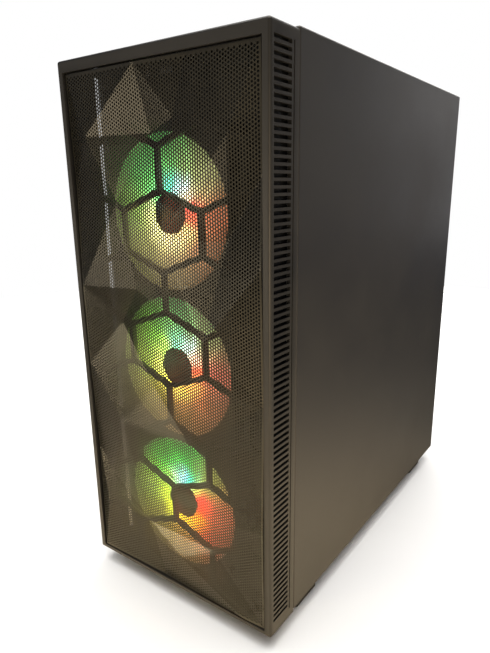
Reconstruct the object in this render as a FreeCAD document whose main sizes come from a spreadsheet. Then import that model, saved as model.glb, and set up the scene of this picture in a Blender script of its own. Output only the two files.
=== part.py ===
import FreeCAD, Part
import math, os
import Sketcher
from FreeCAD import Vector, Rotation, Placement

# Desktop computer tower, millimetres.
# Origin: centre of the overall box in X and Y, bottom of the feet in Z.
# +Z up, the front faces -Y, the plain steel side panel is at +X, the glass one at -X.

doc = FreeCAD.newDocument("computer_tower")
sheet = doc.addObject("Spreadsheet::Sheet", "Sizes")
_row = [0]


class E:
    """A number with the text of the expression that gives it."""

    def __init__(self, v, t):
        self.v = float(v)
        self.t = t

    def _o(self, o):
        return o if isinstance(o, E) else E(o, "%.6g" % o if o >= 0 else "(%.6g)" % o)

    def __add__(self, o):
        o = self._o(o)
        return E(self.v + o.v, "(%s + %s)" % (self.t, o.t))

    __radd__ = __add__

    def __sub__(self, o):
        o = self._o(o)
        return E(self.v - o.v, "(%s - %s)" % (self.t, o.t))

    def __rsub__(self, o):
        return self._o(o) - self

    def __mul__(self, o):
        o = self._o(o)
        return E(self.v * o.v, "(%s * %s)" % (self.t, o.t))

    __rmul__ = __mul__

    def __truediv__(self, o):
        o = self._o(o)
        return E(self.v / o.v, "(%s / %s)" % (self.t, o.t))

    def __neg__(self):
        return E(-self.v, "(0 - %s)" % self.t)


def dim(name, value):
    _row[0] += 1
    sheet.set("A%d" % _row[0], name)
    sheet.set("B%d" % _row[0], "%g" % value)
    sheet.setAlias("B%d" % _row[0], name)
    return E(value, "Sizes.%s" % name)


def num(e):
    return e.v if isinstance(e, E) else float(e)


def put(obj, prop, e):
    obj.setExpression(prop, e.t if isinstance(e, E) else "%.6g" % e)


# ---------------------------------------------------------------- sizes
case_w = dim("case_width", 201.0)
half_w = case_w / 2
front_y = dim("front_plane_y", -195.75)
bez_z = dim("bezel_bottom_z", 15.0)
bez_h = dim("bezel_height", 435.0)
bez_d = dim("bezel_depth", 33.0)
bez_wall = dim("bezel_wall", 2.5)
ring_d = dim("front_ring_depth", 3.7)
side_bar = dim("front_side_bar", 6.03)
top_bar = dim("front_top_bar", 9.0)
low_bar = dim("front_bottom_bar", 2.6)
bez_round = dim("bezel_round", 2.2)
slot_n = 90
slot_pitch = dim("vent_slot_pitch", 4.635)
slot_high = dim("vent_slot_height", 2.6)
slot_top = dim("vent_top_slot_z", 425.3)
slot_y0 = dim("vent_slot_front", 3.9)
slot_y1 = dim("vent_slot_back", 24.2)
mesh_t = dim("mesh_thickness", 0.8)
hex_w = dim("hexagon_cell_width", 78.0)
hex_rise = dim("hexagon_slope_rise", 14.4)
hex_rib = dim("hexagon_rib_length", 31.1)
hex_t = dim("hexagon_rib_width", 4.3)
hex_y = dim("hexagon_grille_front", 3.7)
hex_d = dim("hexagon_grille_depth", 2.6)
fan_s = dim("fan_size", 120.0)
fan_t = dim("fan_thickness", 25.0)
fan_y = dim("front_fan_face", 11.5)
fan_p = dim("front_fan_pitch", 121.5)
fan_z = dim("lowest_front_fan_z", 93.0)
sheet_t = dim("steel_gauge", 1.0)
panel_t = dim("panel_gauge", 0.8)
panel_d = dim("panel_fold_depth", 4.0)
panel_y0 = dim("panel_front", 33.4)
panel_y1 = dim("panel_rear", 385.5)
panel_z0 = dim("panel_bottom_z", 16.5)
panel_z1 = dim("panel_top_z", 451.5)
panel_round = dim("panel_edge_round", 1.5)
inner_x = dim("chassis_half_width", 96.2)
floor_z = dim("chassis_floor_z", 17.0)
roof_z = dim("chassis_roof_z", 450.0)
rear_y = dim("rear_plate_inner", 383.5)
tray_x = dim("board_tray_x", 85.0)
shroud_z = dim("shroud_top_z", 120.0)
foot_z = dim("foot_height", 17.0)
foot_pad = dim("foot_pad_height", 2.0)
foot_w = dim("foot_width", 30.0)
foot_l = dim("foot_length", 35.0)
foot_x = dim("foot_inner_x", 63.5)
filter_z = dim("top_filter_z", 451.2)
filter_t = dim("top_filter_thickness", 2.0)
board_x = dim("board_back_x", 78.5)
board_t = dim("board_thickness", 1.6)
board_z1 = dim("board_top_z", 441.0)
board_h = dim("board_height", 305.0)
board_w = dim("board_width", 244.0)
psu_w = dim("supply_width", 150.0)
psu_h = dim("supply_height", 86.0)
psu_l = dim("supply_length", 140.0)
psu_x = dim("supply_centre_x", 5.0)
psu_z = dim("supply_bottom_z", 18.6)

PARTS = []


def keep(obj, label):
    obj.Label = label
    PARTS.append(obj)
    return obj


def box(name, x0, x1, y0, y1, z0, z1):
    o = doc.addObject("Part::Box", name)
    put(o, "Length", x1 - x0)
    put(o, "Width", y1 - y0)
    put(o, "Height", z1 - z0)
    put(o, "Placement.Base.x", x0)
    put(o, "Placement.Base.y", y0)
    put(o, "Placement.Base.z", z0)
    return o


ROT = {"z": Rotation(), "x": Rotation(Vector(0, 1, 0), 90), "y": Rotation(Vector(1, 0, 0), -90)}


def cyl(name, axis, r, h, x, y, z):
    """Cylinder whose base centre is x, y, z and that runs along +axis."""
    o = doc.addObject("Part::Cylinder", name)
    o.Placement = Placement(Vector(0, 0, 0), ROT[axis])
    put(o, "Radius", r)
    put(o, "Height", h)
    put(o, "Placement.Base.x", x)
    put(o, "Placement.Base.y", y)
    put(o, "Placement.Base.z", z)
    return o


def fuse(name, objs):
    o = doc.addObject("Part::MultiFuse", name)
    o.Shapes = objs
    o.Refine = True
    return o


def cut(name, base, tools):
    t = tools[0] if len(tools) == 1 else fuse(name + "_tools", tools)
    o = doc.addObject("Part::Cut", name)
    o.Base = base
    o.Tool = t
    o.Refine = True
    return o


def group(name, objs):
    o = doc.addObject("Part::Compound", name)
    o.Links = objs
    return o


# ---------------------------------------------------------------- sketch helpers
def new_body(name):
    return doc.addObject("PartDesign::Body", name)


def sketch_on(body, name, role="XY_Plane", offset=None):
    sk = body.newObject("Sketcher::SketchObject", name)
    pl = [f for f in body.Origin.OriginFeatures if f.Role == role][0]
    sk.AttachmentSupport = [(pl, "")]
    sk.MapMode = "FlatFace"
    if offset is not None:
        put(sk, "AttachmentOffset.Base.z", offset)
    return sk


def bind(sk, kind, geo, pos, e):
    v = num(e)
    if abs(v) < 1e-9:
        sk.addConstraint(Sketcher.Constraint("PointOnObject", geo, pos, -2 if kind == "DistanceX" else -1))
        return
    i = sk.addConstraint(Sketcher.Constraint(kind, -1, 1, geo, pos, v))
    if isinstance(e, E):
        sk.setExpression("Constraints[%d]" % i, e.t)


def rect(sk, x0, x1, y0, y1):
    a, b, c, d = num(x0), num(x1), num(y0), num(y1)
    p = [Vector(a, c, 0), Vector(b, c, 0), Vector(b, d, 0), Vector(a, d, 0)]
    g = [sk.addGeometry(Part.LineSegment(p[i], p[(i + 1) % 4]), False) for i in range(4)]
    for i in range(4):
        sk.addConstraint(Sketcher.Constraint("Coincident", g[i], 2, g[(i + 1) % 4], 1))
    for i in (0, 2):
        sk.addConstraint(Sketcher.Constraint("Horizontal", g[i]))
    for i in (1, 3):
        sk.addConstraint(Sketcher.Constraint("Vertical", g[i]))
    bind(sk, "DistanceX", g[0], 1, x0)
    bind(sk, "DistanceY", g[0], 1, y0)
    bind(sk, "DistanceX", g[2], 1, x1)
    bind(sk, "DistanceY", g[2], 1, y1)
    return g


def circle(sk, x, y, r):
    g = sk.addGeometry(Part.Circle(Vector(num(x), num(y), 0), Vector(0, 0, 1), num(r)), False)
    i = sk.addConstraint(Sketcher.Constraint("Radius", g, num(r)))
    if isinstance(r, E):
        sk.setExpression("Constraints[%d]" % i, r.t)
    bind(sk, "DistanceX", g, 3, x)
    bind(sk, "DistanceY", g, 3, y)
    return g


def pad(body, sk, name, length, reverse=False):
    p = body.newObject("PartDesign::Pad", name)
    p.Profile = sk
    put(p, "Length", length)
    p.Reversed = reverse
    doc.recompute()
    return p


def pocket(body, sk, name, length, reverse=False):
    p = body.newObject("PartDesign::Pocket", name)
    p.Profile = sk
    p.Type = 0
    put(p, "Length", length)
    p.Reversed = reverse
    doc.recompute()
    return p


def plate(name, role, thick, outer, rects=(), circles=(), base=(0, 0, 0)):
    """Flat sheet: an outline sketch with cut-outs, padded by its gauge."""
    b = new_body(name)
    sk = sketch_on(b, name + "_outline", role)
    rect(sk, *outer)
    for r in rects:
        rect(sk, *r)
    for c in circles:
        circle(sk, *c)
    pad(b, sk, name + "_pad", thick)
    for k, e in zip("xyz", base):
        put(b, "Placement.Base.%s" % k, e)
    return b


def Y(v):
    return front_y + v


def edges_where(shape, test):
    return ["Edge%d" % (i + 1) for i, e in enumerate(shape.Edges)
            if test(e.BoundBox, e)]


# ---------------------------------------------------------------- front bezel frame
b = new_body("bezel_frame")
sk = sketch_on(b, "bezel_ring_outline", "XZ_Plane")
rect(sk, -half_w, half_w, bez_z, bez_z + bez_h)
rect(sk, -(half_w - side_bar), half_w - side_bar, bez_z + low_bar, bez_z + bez_h - top_bar)
pad(b, sk, "bezel_ring", ring_d, True)
for nm, z0, z1 in (("bezel_roof", bez_z + bez_h - 3, bez_z + bez_h), ("bezel_sill", bez_z, bez_z + 3)):
    sk = sketch_on(b, nm + "_outline", "XZ_Plane")
    rect(sk, -half_w, half_w, z0, z1)
    pad(b, sk, nm, bez_d, True)
tip = b.Tip
hw, zt, zb = num(half_w), num(bez_z + bez_h), num(bez_z)


def outer_front(bb, e):
    if len(e.Vertexes) != 2:
        return False
    p, q = e.Vertexes[0].Point, e.Vertexes[1].Point
    flat_front = abs(p.y) < 1e-4 and abs(q.y) < 1e-4
    side = abs(abs(p.x) - hw) < 1e-4 and abs(p.x - q.x) < 1e-4
    top = abs(p.z - zt) < 1e-4 and abs(q.z - zt) < 1e-4
    return (flat_front and (side or top)) or (side and top)


f = b.newObject("PartDesign::Fillet", "bezel_outer_round")
f.Base = (tip, edges_where(tip.Shape, outer_front))
put(f, "Radius", bez_round)
doc.recompute()
# openings in the roof for the buttons and sockets
sk = sketch_on(b, "roof_openings", "XY_Plane", bez_z + bez_h + 1)
circle(sk, 70.0, 17.0, 7.35)
circle(sk, 50.0, 17.0, 4.35)
rect(sk, 18.7, 32.3, 13.7, 20.3)
rect(sk, -3.3, 10.3, 13.7, 20.3)
circle(sk, -18.0, 17.0, 3.25)
circle(sk, -32.0, 17.0, 3.25)
pocket(b, sk, "roof_cuts", 6.0)
put(b, "Placement.Base.y", front_y)
keep(b, "bezel_frame")

# ---------------------------------------------------------------- side vent strips of the bezel
for side, sx in (("right", 1), ("left", -1)):
    b = new_body("vent_strip_" + side)
    sk = sketch_on(b, "strip_outline_" + side, "YZ_Plane")
    rect(sk, ring_d, bez_d, bez_z + 3, bez_z + bez_h - 3)
    pad(b, sk, "strip_wall_" + side, bez_wall)
    sk = sketch_on(b, "strip_slot_" + side, "YZ_Plane")
    ztop = bez_z + slot_top
    rect(sk, slot_y0, slot_y1, ztop - slot_high / 2, ztop + slot_high / 2)
    pk = pocket(b, sk, "strip_cut_" + side, bez_wall + 2, True)
    lp = b.newObject("PartDesign::LinearPattern", "strip_slots_" + side)
    lp.Originals = [pk]
    lp.Direction = (sk, ["V_Axis"])
    lp.Reversed = True
    put(lp, "Length", slot_pitch * (slot_n - 1))
    lp.Occurrences = slot_n
    b.Tip = lp
    # shallow groove beside the seam
    sk = sketch_on(b, "strip_groove_outline_" + side, "YZ_Plane", bez_wall if sx > 0 else E(0, "0"))
    rect(sk, slot_y1 + 2.2, slot_y1 + 3.4, bez_z + 8, bez_z + bez_h - 8)
    pocket(b, sk, "strip_groove_" + side, 0.8, sx < 0)
    put(b, "Placement.Base.x", (half_w - bez_wall) if sx > 0 else -half_w)
    put(b, "Placement.Base.y", front_y)
    doc.recompute()
    keep(b, "vent_strip_" + side)

# ---------------------------------------------------------------- faceted front sheet
# Corner points: distance from the left edge, height above the bezel bottom, depth behind the front plane.
FACET = {
    "T0": (5.3, 424.5, 1.6), "A": (82, 424.5, .4), "T2": (130, 424.5, 1.9), "T3": (191.2, 424.5, 1.4),
    "R1": (191.2, 348, 2.9), "R2": (191.2, 288, .5), "R3": (191.2, 190, 2.9), "R4": (191.2, 88, .7),
    "R5": (191.2, 3.4, 1.8), "B1": (172, 3.4, .5), "B2": (85, 3.4, 2.4), "B0": (5.3, 3.4, .9),
    "L1": (5.3, 110, 2.9), "L2": (5.3, 190, .8), "L3": (5.3, 259, .4), "L4": (5.3, 340, 2.9),
    "C": (24, 378, .6), "Bv": (94, 377, 2.9), "D": (117, 385.7, .5), "G": (50, 233, 2.9), "H": (43, 143, .5),
    "I": (22.5, 87, 2.4), "J": (16, 52, .5), "K": (68, 53, 2.3), "M": (106.7, 31.7, .4), "L": (141.7, 52, 2.4),
    "N": (162, 86, .5), "P": (162.3, 303.3, 2.4), "V1": (100, 302, .4), "V2": (72, 262, .6),
    "V3": (138, 228, .5), "V4": (84, 182, 2.4), "V5": (122, 140, .6), "W": (55, 330, 1.2), "X": (165, 372, .6)}
TRIS = [('R2', 'V3', 'R3'), ('B2', 'K', 'B0'), ('V3', 'P', 'V1'), ('P', 'V3', 'R2'), ('R1', 'P', 'R2'),
        ('V5', 'V3', 'V4'), ('V3', 'V5', 'R3'), ('V5', 'R4', 'R3'), ('R4', 'V5', 'N'), ('B2', 'M', 'K'),
        ('L4', 'C', 'T0'), ('C', 'A', 'T0'), ('A', 'C', 'Bv'), ('J', 'L1', 'B0'), ('K', 'J', 'B0'),
        ('V5', 'H', 'K'), ('H', 'V5', 'V4'), ('L1', 'H', 'L2'), ('L2', 'H', 'V4'), ('B1', 'M', 'B2'),
        ('M', 'L', 'K'), ('L', 'V5', 'K'), ('V5', 'L', 'N'), ('B1', 'L', 'M'), ('L', 'R4', 'N'),
        ('R4', 'L', 'R5'), ('L', 'B1', 'R5'), ('L3', 'W', 'L4'), ('Bv', 'W', 'V1'), ('C', 'W', 'Bv'),
        ('W', 'C', 'L4'), ('G', 'L3', 'L2'), ('G', 'L2', 'V4'), ('I', 'J', 'K'), ('J', 'I', 'L1'),
        ('H', 'I', 'K'), ('I', 'H', 'L1'), ('X', 'R1', 'T3'), ('T2', 'X', 'T3'), ('X', 'P', 'R1'),
        ('P', 'X', 'V1'), ('V2', 'W', 'L3'), ('G', 'V2', 'L3'), ('W', 'V2', 'V1'), ('V2', 'V3', 'V1'),
        ('V3', 'V2', 'V4'), ('V2', 'G', 'V4'), ('D', 'X', 'T2'), ('D', 'T2', 'A'), ('D', 'A', 'Bv'),
        ('D', 'Bv', 'V1'), ('X', 'D', 'V1')]
EDGE = ["T0", "A", "T2", "T3", "R1", "R2", "R3", "R4", "R5", "B1", "B2", "B0", "L1", "L2", "L3", "L4"]
FACE_W = 196.54


def fpt(n, back):
    u, v, d = FACET[n]
    return Vector(u - FACE_W / 2, num(front_y) + d + (num(mesh_t) if back else 0.0), v + num(bez_z))


faces = []
for tri in TRIS:
    for back in (False, True):
        pts = [fpt(n, back) for n in tri]
        faces.append(Part.Face(Part.makePolygon(pts + [pts[0]])))
for i in range(len(EDGE)):
    p, q = EDGE[i], EDGE[(i + 1) % len(EDGE)]
    pts = [fpt(p, False), fpt(q, False), fpt(q, True), fpt(p, True)]
    faces.append(Part.Face(Part.makePolygon(pts + [pts[0]])))
shell = Part.makeShell(faces)
shell.sewShape()
solid = Part.makeSolid(shell if shell.ShapeType == "Shell" else shell.Shells[0])
if solid.Volume < 0:
    solid.reverse()
o = doc.addObject("Part::Feature", "front_mesh")
o.Shape = solid
keep(o, "front_mesh")

# ---------------------------------------------------------------- honeycomb grille behind the sheet
W2, R2, RISE, T2 = num(hex_w) / 2, num(hex_rib) / 2, num(hex_rise), num(hex_t) / 2
per = num(hex_rib) + num(hex_rise)
prisms = []
gy = num(front_y + hex_y)
ang = math.atan2(RISE, W2)
for row in range(-1, 11):
    zc = 307.4 + num(bez_z) - (row - 3) * per
    for col in range(-2, 3):
        if (row - 3) % 2 == 0:
            xc = col * 2 * W2
        else:
            xc = (col + 0.5) * 2 * W2
        # corner points pulled in by half a rib
        xi = W2 - T2
        zi = R2 - T2 * (1 / math.cos(ang) - math.tan(ang))
        ztip = R2 + RISE - T2 / math.cos(ang)
        pts = [(xi, zi), (0, ztip), (-xi, zi), (-xi, -zi), (0, -ztip), (xi, -zi)]
        w = Part.makePolygon([Vector(xc + a, gy - 1, zc + c) for a, c in pts + [pts[0]]])
        prisms.append(Part.Face(w).extrude(Vector(0, num(hex_d) + 2, 0)))
tool = doc.addObject("Part::Feature", "hexagon_cells")
tool.Shape = Part.makeCompound(prisms)
rim = box("grille_window", -91.0, 91.0, Y(hex_y) - 2, Y(hex_y) + hex_d + 2, bez_z + 5.6, bez_z + 422.4)
cells = doc.addObject("Part::Common", "grille_cells")
cells.Base = tool
cells.Tool = rim
slab = box("grille_slab", -94.2, 94.2, Y(hex_y), Y(hex_y) + hex_d, bez_z + 3.2, bez_z + bez_h - 9.4)
g = doc.addObject("Part::Cut", "honeycomb_grille")
g.Base = slab
g.Tool = cells
keep(g, "honeycomb_grille")

# ---------------------------------------------------------------- buttons and sockets in the bezel roof
top = bez_z + bez_h
o = fuse("power_button", [cyl("pb_stem", "z", 7.0, 6.0, 70.0, Y(17), top - 5),
                          cyl("pb_collar", "z", 8.6, 1.2, 70.0, Y(17), top - 5.4)])
keep(o, "power_button")
o = fuse("light_button", [cyl("lb_stem", "z", 4.0, 5.8, 50.0, Y(17), top - 5),
                          cyl("lb_collar", "z", 5.6, 1.2, 50.0, Y(17), top - 5.4)])
keep(o, "light_button")
o = fuse("front_port_board", [box("fpb_board", -40.0, 84.0, Y(9.0), Y(25.0), top - 20.6, top - 19.0),
                              box("fpb_switch1", 67.0, 73.0, Y(14.0), Y(20.0), top - 19.1, top - 7.9),
                              box("fpb_switch2", 47.0, 53.0, Y(14.0), Y(20.0), top - 19.1, top - 7.9)])
keep(o, "front_port_board")
us = []
for i, x in enumerate((25.5, 3.5)):
    outer = box("usb_out%d" % i, x - 6.7, x + 6.7, Y(13.8), Y(20.2), top - 19.0, top + 0.1)
    inner = box("usb_in%d" % i, x - 6.1, x + 6.1, Y(14.4), Y(19.6), top - 16.0, top + 1)
    tongue = box("usb_tongue%d" % i, x - 5.6, x + 5.6, Y(17.2), Y(19.2), top - 17.0, top - 1.2)
    us.append(fuse("usb_port%d" % i, [cut("usb_shell%d" % i, outer, [inner]), tongue]))
for i, x in enumerate((-18.0, -32.0)):
    us.append(cut("audio%d" % i, cyl("aj_out%d" % i, "z", 3.2, 19.1, x, Y(17), top - 19.0),
                  [cyl("aj_in%d" % i, "z", 1.8, 14.0, x, Y(17), top - 13.0)]))
keep(group("front_sockets", us), "front_sockets")

# ---------------------------------------------------------------- chassis sheets
ix = inner_x
fan_zs = [fan_z, fan_z + fan_p, fan_z + fan_p * 2]
vents = []
circ = []
for z in fan_zs:
    circ.append((0, z, 57.0))
    for dx in (-52.5, 52.5):
        for dz in (-52.5, 52.5):
            circ.append((dx, z + dz, 2.3))
o = plate("chassis_front", "XZ_Plane", sheet_t, (-ix, ix, floor_z + sheet_t, roof_z), (), circ,
          (0, Y(fan_y) + fan_t + sheet_t, 0))
keep(o, "chassis_front")
PSX0, PSX1 = psu_x - psu_w / 2, psu_x + psu_w / 2
o = plate("chassis_floor", "XY_Plane", sheet_t, (-ix, ix, Y(33.6), Y(rear_y)), (),
          [(psu_x, Y(rear_y) - psu_l - 0.1 + 62.0, 60.0)], (0, 0, floor_z))
keep(o, "chassis_floor")
slots = []
for k in range(9):
    for j in range(2):
        slots.append((-60.0 + 0.0 * k, 44.0, Y(70.0 + 15.0 * k + 140 * j), Y(76.0 + 15.0 * k + 140 * j)))
o = plate("chassis_roof", "XY_Plane", sheet_t, (-ix, ix, Y(33.6), Y(rear_y)), slots, (), (0, 0, roof_z))
keep(o, "chassis_roof")

# rear plate: fan hole, connector window, seven card slots, supply window, panel screw holes
rfx, rfz = dim("rear_fan_x", -29.2), dim("rear_fan_z", 384.0)
slot0 = dim("first_card_slot_z", 259.5)
slot_dz = dim("card_slot_pitch", 20.32)
rects = [(34.0, 79.0, 274.0, 433.0),
         (PSX0 + 3, PSX1 - 3, psu_z + 3, psu_z + psu_h - 3)]
for k in range(7):
    rects.append((-30.0, 72.0, slot0 - slot_dz * k - 7.2, slot0 - slot_dz * k + 7.2))
circ = [(rfx, rfz, 57.0)]
for dx in (-52.5, 52.5):
    for dz in (-52.5, 52.5):
        circ.append((rfx + dx, rfz + dz, 2.3))
for sx in (-92.0, 92.0):
    for z in (70.0, 400.0):
        circ.append((sx, z, 2.2))
o = plate("chassis_rear", "XZ_Plane", sheet_t, (-ix, ix, floor_z + sheet_t, roof_z), rects, circ,
          (0, Y(rear_y) + sheet_t, 0))
keep(o, "chassis_rear")

# board tray: cut-out behind the processor, three cable openings
o = plate("board_tray", "YZ_Plane", sheet_t, (Y(60.0), Y(rear_y), shroud_z + 1, roof_z),
          [(75.0 - 40, 165.0 - 20, 300.0, 410.0), (-92.0, -68.0, 330.0, 400.0), (-92.0, -68.0, 200.0, 270.0)],
          (), (tray_x, 0, 0))
keep(o, "board_tray")

# shroud over the supply and the drive cage: a top sheet and a side sheet folded from it
sh = fuse("shroud_sheet", [box("shroud_top", -ix, ix - 0.2, Y(fan_y + fan_t + sheet_t), Y(rear_y), shroud_z, shroud_z + sheet_t),
                            box("shroud_side", -ix, -ix + sheet_t, Y(fan_y + fan_t + sheet_t), Y(rear_y), floor_z + sheet_t, shroud_z + sheet_t)])
sh = cut("shroud_cut", sh, [box("shroud_cable1", 62.0, 80.0, Y(110.0), Y(150.0), shroud_z - 1, shroud_z + 3),
                            box("shroud_cable2", 62.0, 80.0, Y(250.0), Y(290.0), shroud_z - 1, shroud_z + 3)])
keep(sh, "supply_shroud")

# drive cage: two walls and a top, two bays
cx0, cx1 = dim("cage_x0", -60.0), dim("cage_x1", 44.0)
cage = fuse("drive_cage_sheet", [
    box("cage_wall1", cx0, cx0 + sheet_t, Y(48.0), Y(198.0), floor_z + sheet_t, 88.0),
    box("cage_wall2", cx1 - sheet_t, cx1, Y(48.0), Y(198.0), floor_z + sheet_t, 88.0),
    box("cage_top", cx0, cx1, Y(48.0), Y(198.0), 87.0, 88.0)])
keep(cage, "drive_cage")
hd = dim("drive_width", 101.6)
o = cut("hard_drive_a", box("hd_body", cx0 + 1.2, cx0 + 1.2 + hd, Y(49.0), Y(196.0), 24.0, 50.1),
        [box("hd_step1", cx0 + 0, cx0 + 1.2 + hd + 2, Y(150.0), Y(200.0), 20.0, 29.0)])
keep(o, "hard_drive")

# ---------------------------------------------------------------- fans
def fan_frame(label, place, motor_back=True):
    """Square frame with a round duct, four struts and a motor seat, local Z along the air flow."""
    bd = new_body(label)
    s = sketch_on(bd, label + "_square", "XY_Plane")
    rect(s, -fan_s / 2, fan_s / 2, -fan_s / 2, fan_s / 2)
    circle(s, 0, 0, duct_r)
    for dx in (-52.5, 52.5):
        for dy in (-52.5, 52.5):
            circle(s, dx, dy, 2.2)
    pd = pad(bd, s, label + "_frame", fan_t)
    s = sketch_on(bd, label + "_seat", "XY_Plane", fan_t - 3.5)
    circle(s, 0, 0, 20.5)
    circle(s, 0, 0, 1.55)
    p = bd.newObject("PartDesign::Pad", label + "_motor_seat")
    p.Profile = s
    put(p, "Length", 3.5)
    doc.recompute()
    # one strut and its pattern
    s = sketch_on(bd, label + "_strut", "XY_Plane", fan_t - 3.5)
    rect(s, 19.0, duct_r + 1.0, -2.0, 2.0)
    p = bd.newObject("PartDesign::Pad", label + "_strut_bar")
    p.Profile = s
    put(p, "Length", 3.0)
    doc.recompute()
    pp = bd.newObject("PartDesign::PolarPattern", label + "_struts")
    pp.Originals = [p]
    pp.Axis = (s, ["N_Axis"])
    pp.Angle = 360
    pp.Occurrences = 4
    bd.Tip = pp
    doc.recompute()
    # corner rounds of the square
    hs = num(fan_s) / 2
    def corner(bb, e):
        return (len(e.Vertexes) == 2 and bb.XLength < 1e-4 and bb.YLength < 1e-4
                and abs(abs(bb.XMin) - hs) < 1e-4 and abs(abs(bb.YMin) - hs) < 1e-4)
    fl = bd.newObject("PartDesign::Fillet", label + "_corners")
    fl.Base = (pp, edges_where(pp.Shape, corner))
    put(fl, "Radius", 5.0)
    doc.recompute()
    bd.Placement = place
    keep(bd, label)
    return bd


duct_r = dim("fan_duct_radius", 58.0)
hub_r = dim("fan_hub_radius", 20.0)
blade_r = dim("fan_blade_radius", 56.5)


def rotor_shape(r_hub, r_tip, z0, z1, blades, a_hub, a_tip, thick, shaft_r, shaft_to, sweep=0.0):
    """Hub cup with twisted blades and a shaft, local Z along the air flow."""
    hub = Part.makeCylinder(r_hub, z1 - z0, Vector(0, 0, z0))
    ring = [e for e in hub.Edges if abs(e.BoundBox.ZMin - z0) < 1e-6 and abs(e.BoundBox.ZMax - z0) < 1e-6]
    hub = hub.makeFillet(1.5, ring)
    parts = [hub]
    if shaft_r:
        parts.append(Part.makeCylinder(shaft_r, shaft_to - z1 + 0.5, Vector(0, 0, z1 - 0.5)))
    zc = (z0 + z1) / 2 + 0.2
    span = (z1 - z0) - 3.0
    rings = []
    for r, a in ((r_hub - 1.5, a_hub), (r_tip + 6, a_tip)):
        ca, sa = math.cos(math.radians(a)), math.sin(math.radians(a))
        half = (span / 2 - thick / 2 * ca) / sa
        half = min(half, math.pi * r / blades * 0.92 / ca)
        pts = []
        for s, t in ((-1, -1), (1, -1), (1, 1), (-1, 1)):
            along, across = s * half, t * thick / 2
            pts.append(Vector(r, along * ca - across * sa, zc + along * sa + across * ca))
        rings.append(Part.makePolygon(pts + [pts[0]]))
    blade = Part.makeLoft(rings, True, True)
    blade = blade.common(Part.makeCylinder(r_tip, 80, Vector(0, 0, -20)))
    for i in range(blades):
        c = blade.copy()
        c.rotate(Vector(0, 0, 0), Vector(0, 0, 1), 360.0 * i / blades)
        parts.append(c)
    return parts[0].multiFuse(parts[1:]).removeSplitter()


def rotor(label, shape, place):
    o = doc.addObject("Part::Feature", label)
    o.Shape = shape
    o.Placement = place
    keep(o, label)


fan_rotor = rotor_shape(num(hub_r), num(blade_r), 1.5, 19.5, 9, 44.0, 27.0, 1.6, 1.5, 24.0)
TO_Y = Rotation(Vector(1, 0, 0), -90)
for i, z in enumerate(fan_zs):
    pl = Placement(Vector(0, num(Y(fan_y)), num(z)), TO_Y)
    fan_frame("front_fan_frame_%d" % (i + 1), pl)
    rotor("front_fan_rotor_%d" % (i + 1), fan_rotor, pl)
pl = Placement(Vector(num(rfx), num(Y(rear_y) - fan_t), num(rfz)), TO_Y)
fan_frame("rear_fan_frame", pl)
rotor("rear_fan_rotor", fan_rotor, pl)

# ---------------------------------------------------------------- main board and what stands on it
by0, by1 = Y(rear_y) - 1 - board_w, Y(rear_y) - 1
bz0 = board_z1 - board_h
face = board_x - board_t
o = plate("main_board", "YZ_Plane", board_t, (by0, by1, bz0, board_z1), (),
          [(by1 - a, board_z1 - c, 2.0) for a, c in ((16, 10), (120, 10), (16, 165), (120, 165), (235, 165), (16, 293), (120, 293))],
          (face, 0, 0))
keep(o, "main_board")
st = []
for i, (a, c) in enumerate(((16, 10), (120, 10), (16, 165), (120, 165), (235, 165), (16, 293), (120, 293))):
    st.append(cyl("standoff%d" % i, "x", 3.2, tray_x - board_x, board_x, by1 - a, board_z1 - c))
keep(group("board_standoffs", st), "board_standoffs")
cpu_y, cpu_z = dim("processor_y", 102.0), dim("processor_z", 361.0)
sock = [fuse("processor_socket", [box("socket_base", face - 4.0, face, cpu_y - 26, cpu_y + 26, cpu_z - 30, cpu_z + 30),
                                  box("cpu_lid", face - 7.0, face - 3.9, cpu_y - 19, cpu_y + 19, cpu_z - 19, cpu_z + 19)])]
ms = []
mm = []
for i in range(4):
    yy = 40.0 - 9.5 * i
    ms.append(cut("dimm_slot%d_a" % i, box("dimm_body%d" % i, face - 8.0, face, yy - 3.2, yy + 3.2, cpu_z - 72, cpu_z + 70),
                  [box("dimm_gap%d" % i, face - 9.0, face - 3.0, yy - 0.9, yy + 0.9, cpu_z - 67, cpu_z + 67)]))
    if i in (1, 3):
        mm.append(fuse("stick%d" % i, [box("stick_board%d" % i, face - 31.0, face - 3.2, yy - 0.6, yy + 0.6, cpu_z - 66.5, cpu_z + 66.5),
                                       box("stick_jacket%d" % i, face - 38.0, face - 9.0, yy - 3.0, yy + 3.0, cpu_z - 66.0, cpu_z + 66.0)]))
keep(group("memory_modules", mm), "memory_modules")
keep(group("board_heatsinks", [
    fuse("regulator_heatsink", [box("vrm_a", face - 24.0, face, Y(345.0), Y(360.0), cpu_z - 60, cpu_z + 72),
                                box("vrm_b", face - 24.0, face, 70.0, Y(352.0), cpu_z + 55, cpu_z + 72)]),
    box("chipset_heatsink", face - 9.0, face, Y(160.0), Y(212.0), 170.0, 222.0)]), "board_heatsinks")
for i, k in enumerate((0, 2, 5)):
    z = slot0 - slot_dz * k
    sock.append(cut("card_socket%d" % i, box("card_body%d" % i, face - 11.0, face, Y(270.0), Y(359.0), z - 3.6, z + 3.6),
                    [box("card_gap%d" % i, face - 12.0, face - 2.8, Y(271.0), Y(358.0), z - 1.1, z + 1.1)]))
sock.append(box("power_header", face - 13.0, face, -52.0, -43.5, cpu_z - 70, cpu_z - 18))
keep(group("board_sockets", sock + ms), "board_sockets")
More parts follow.
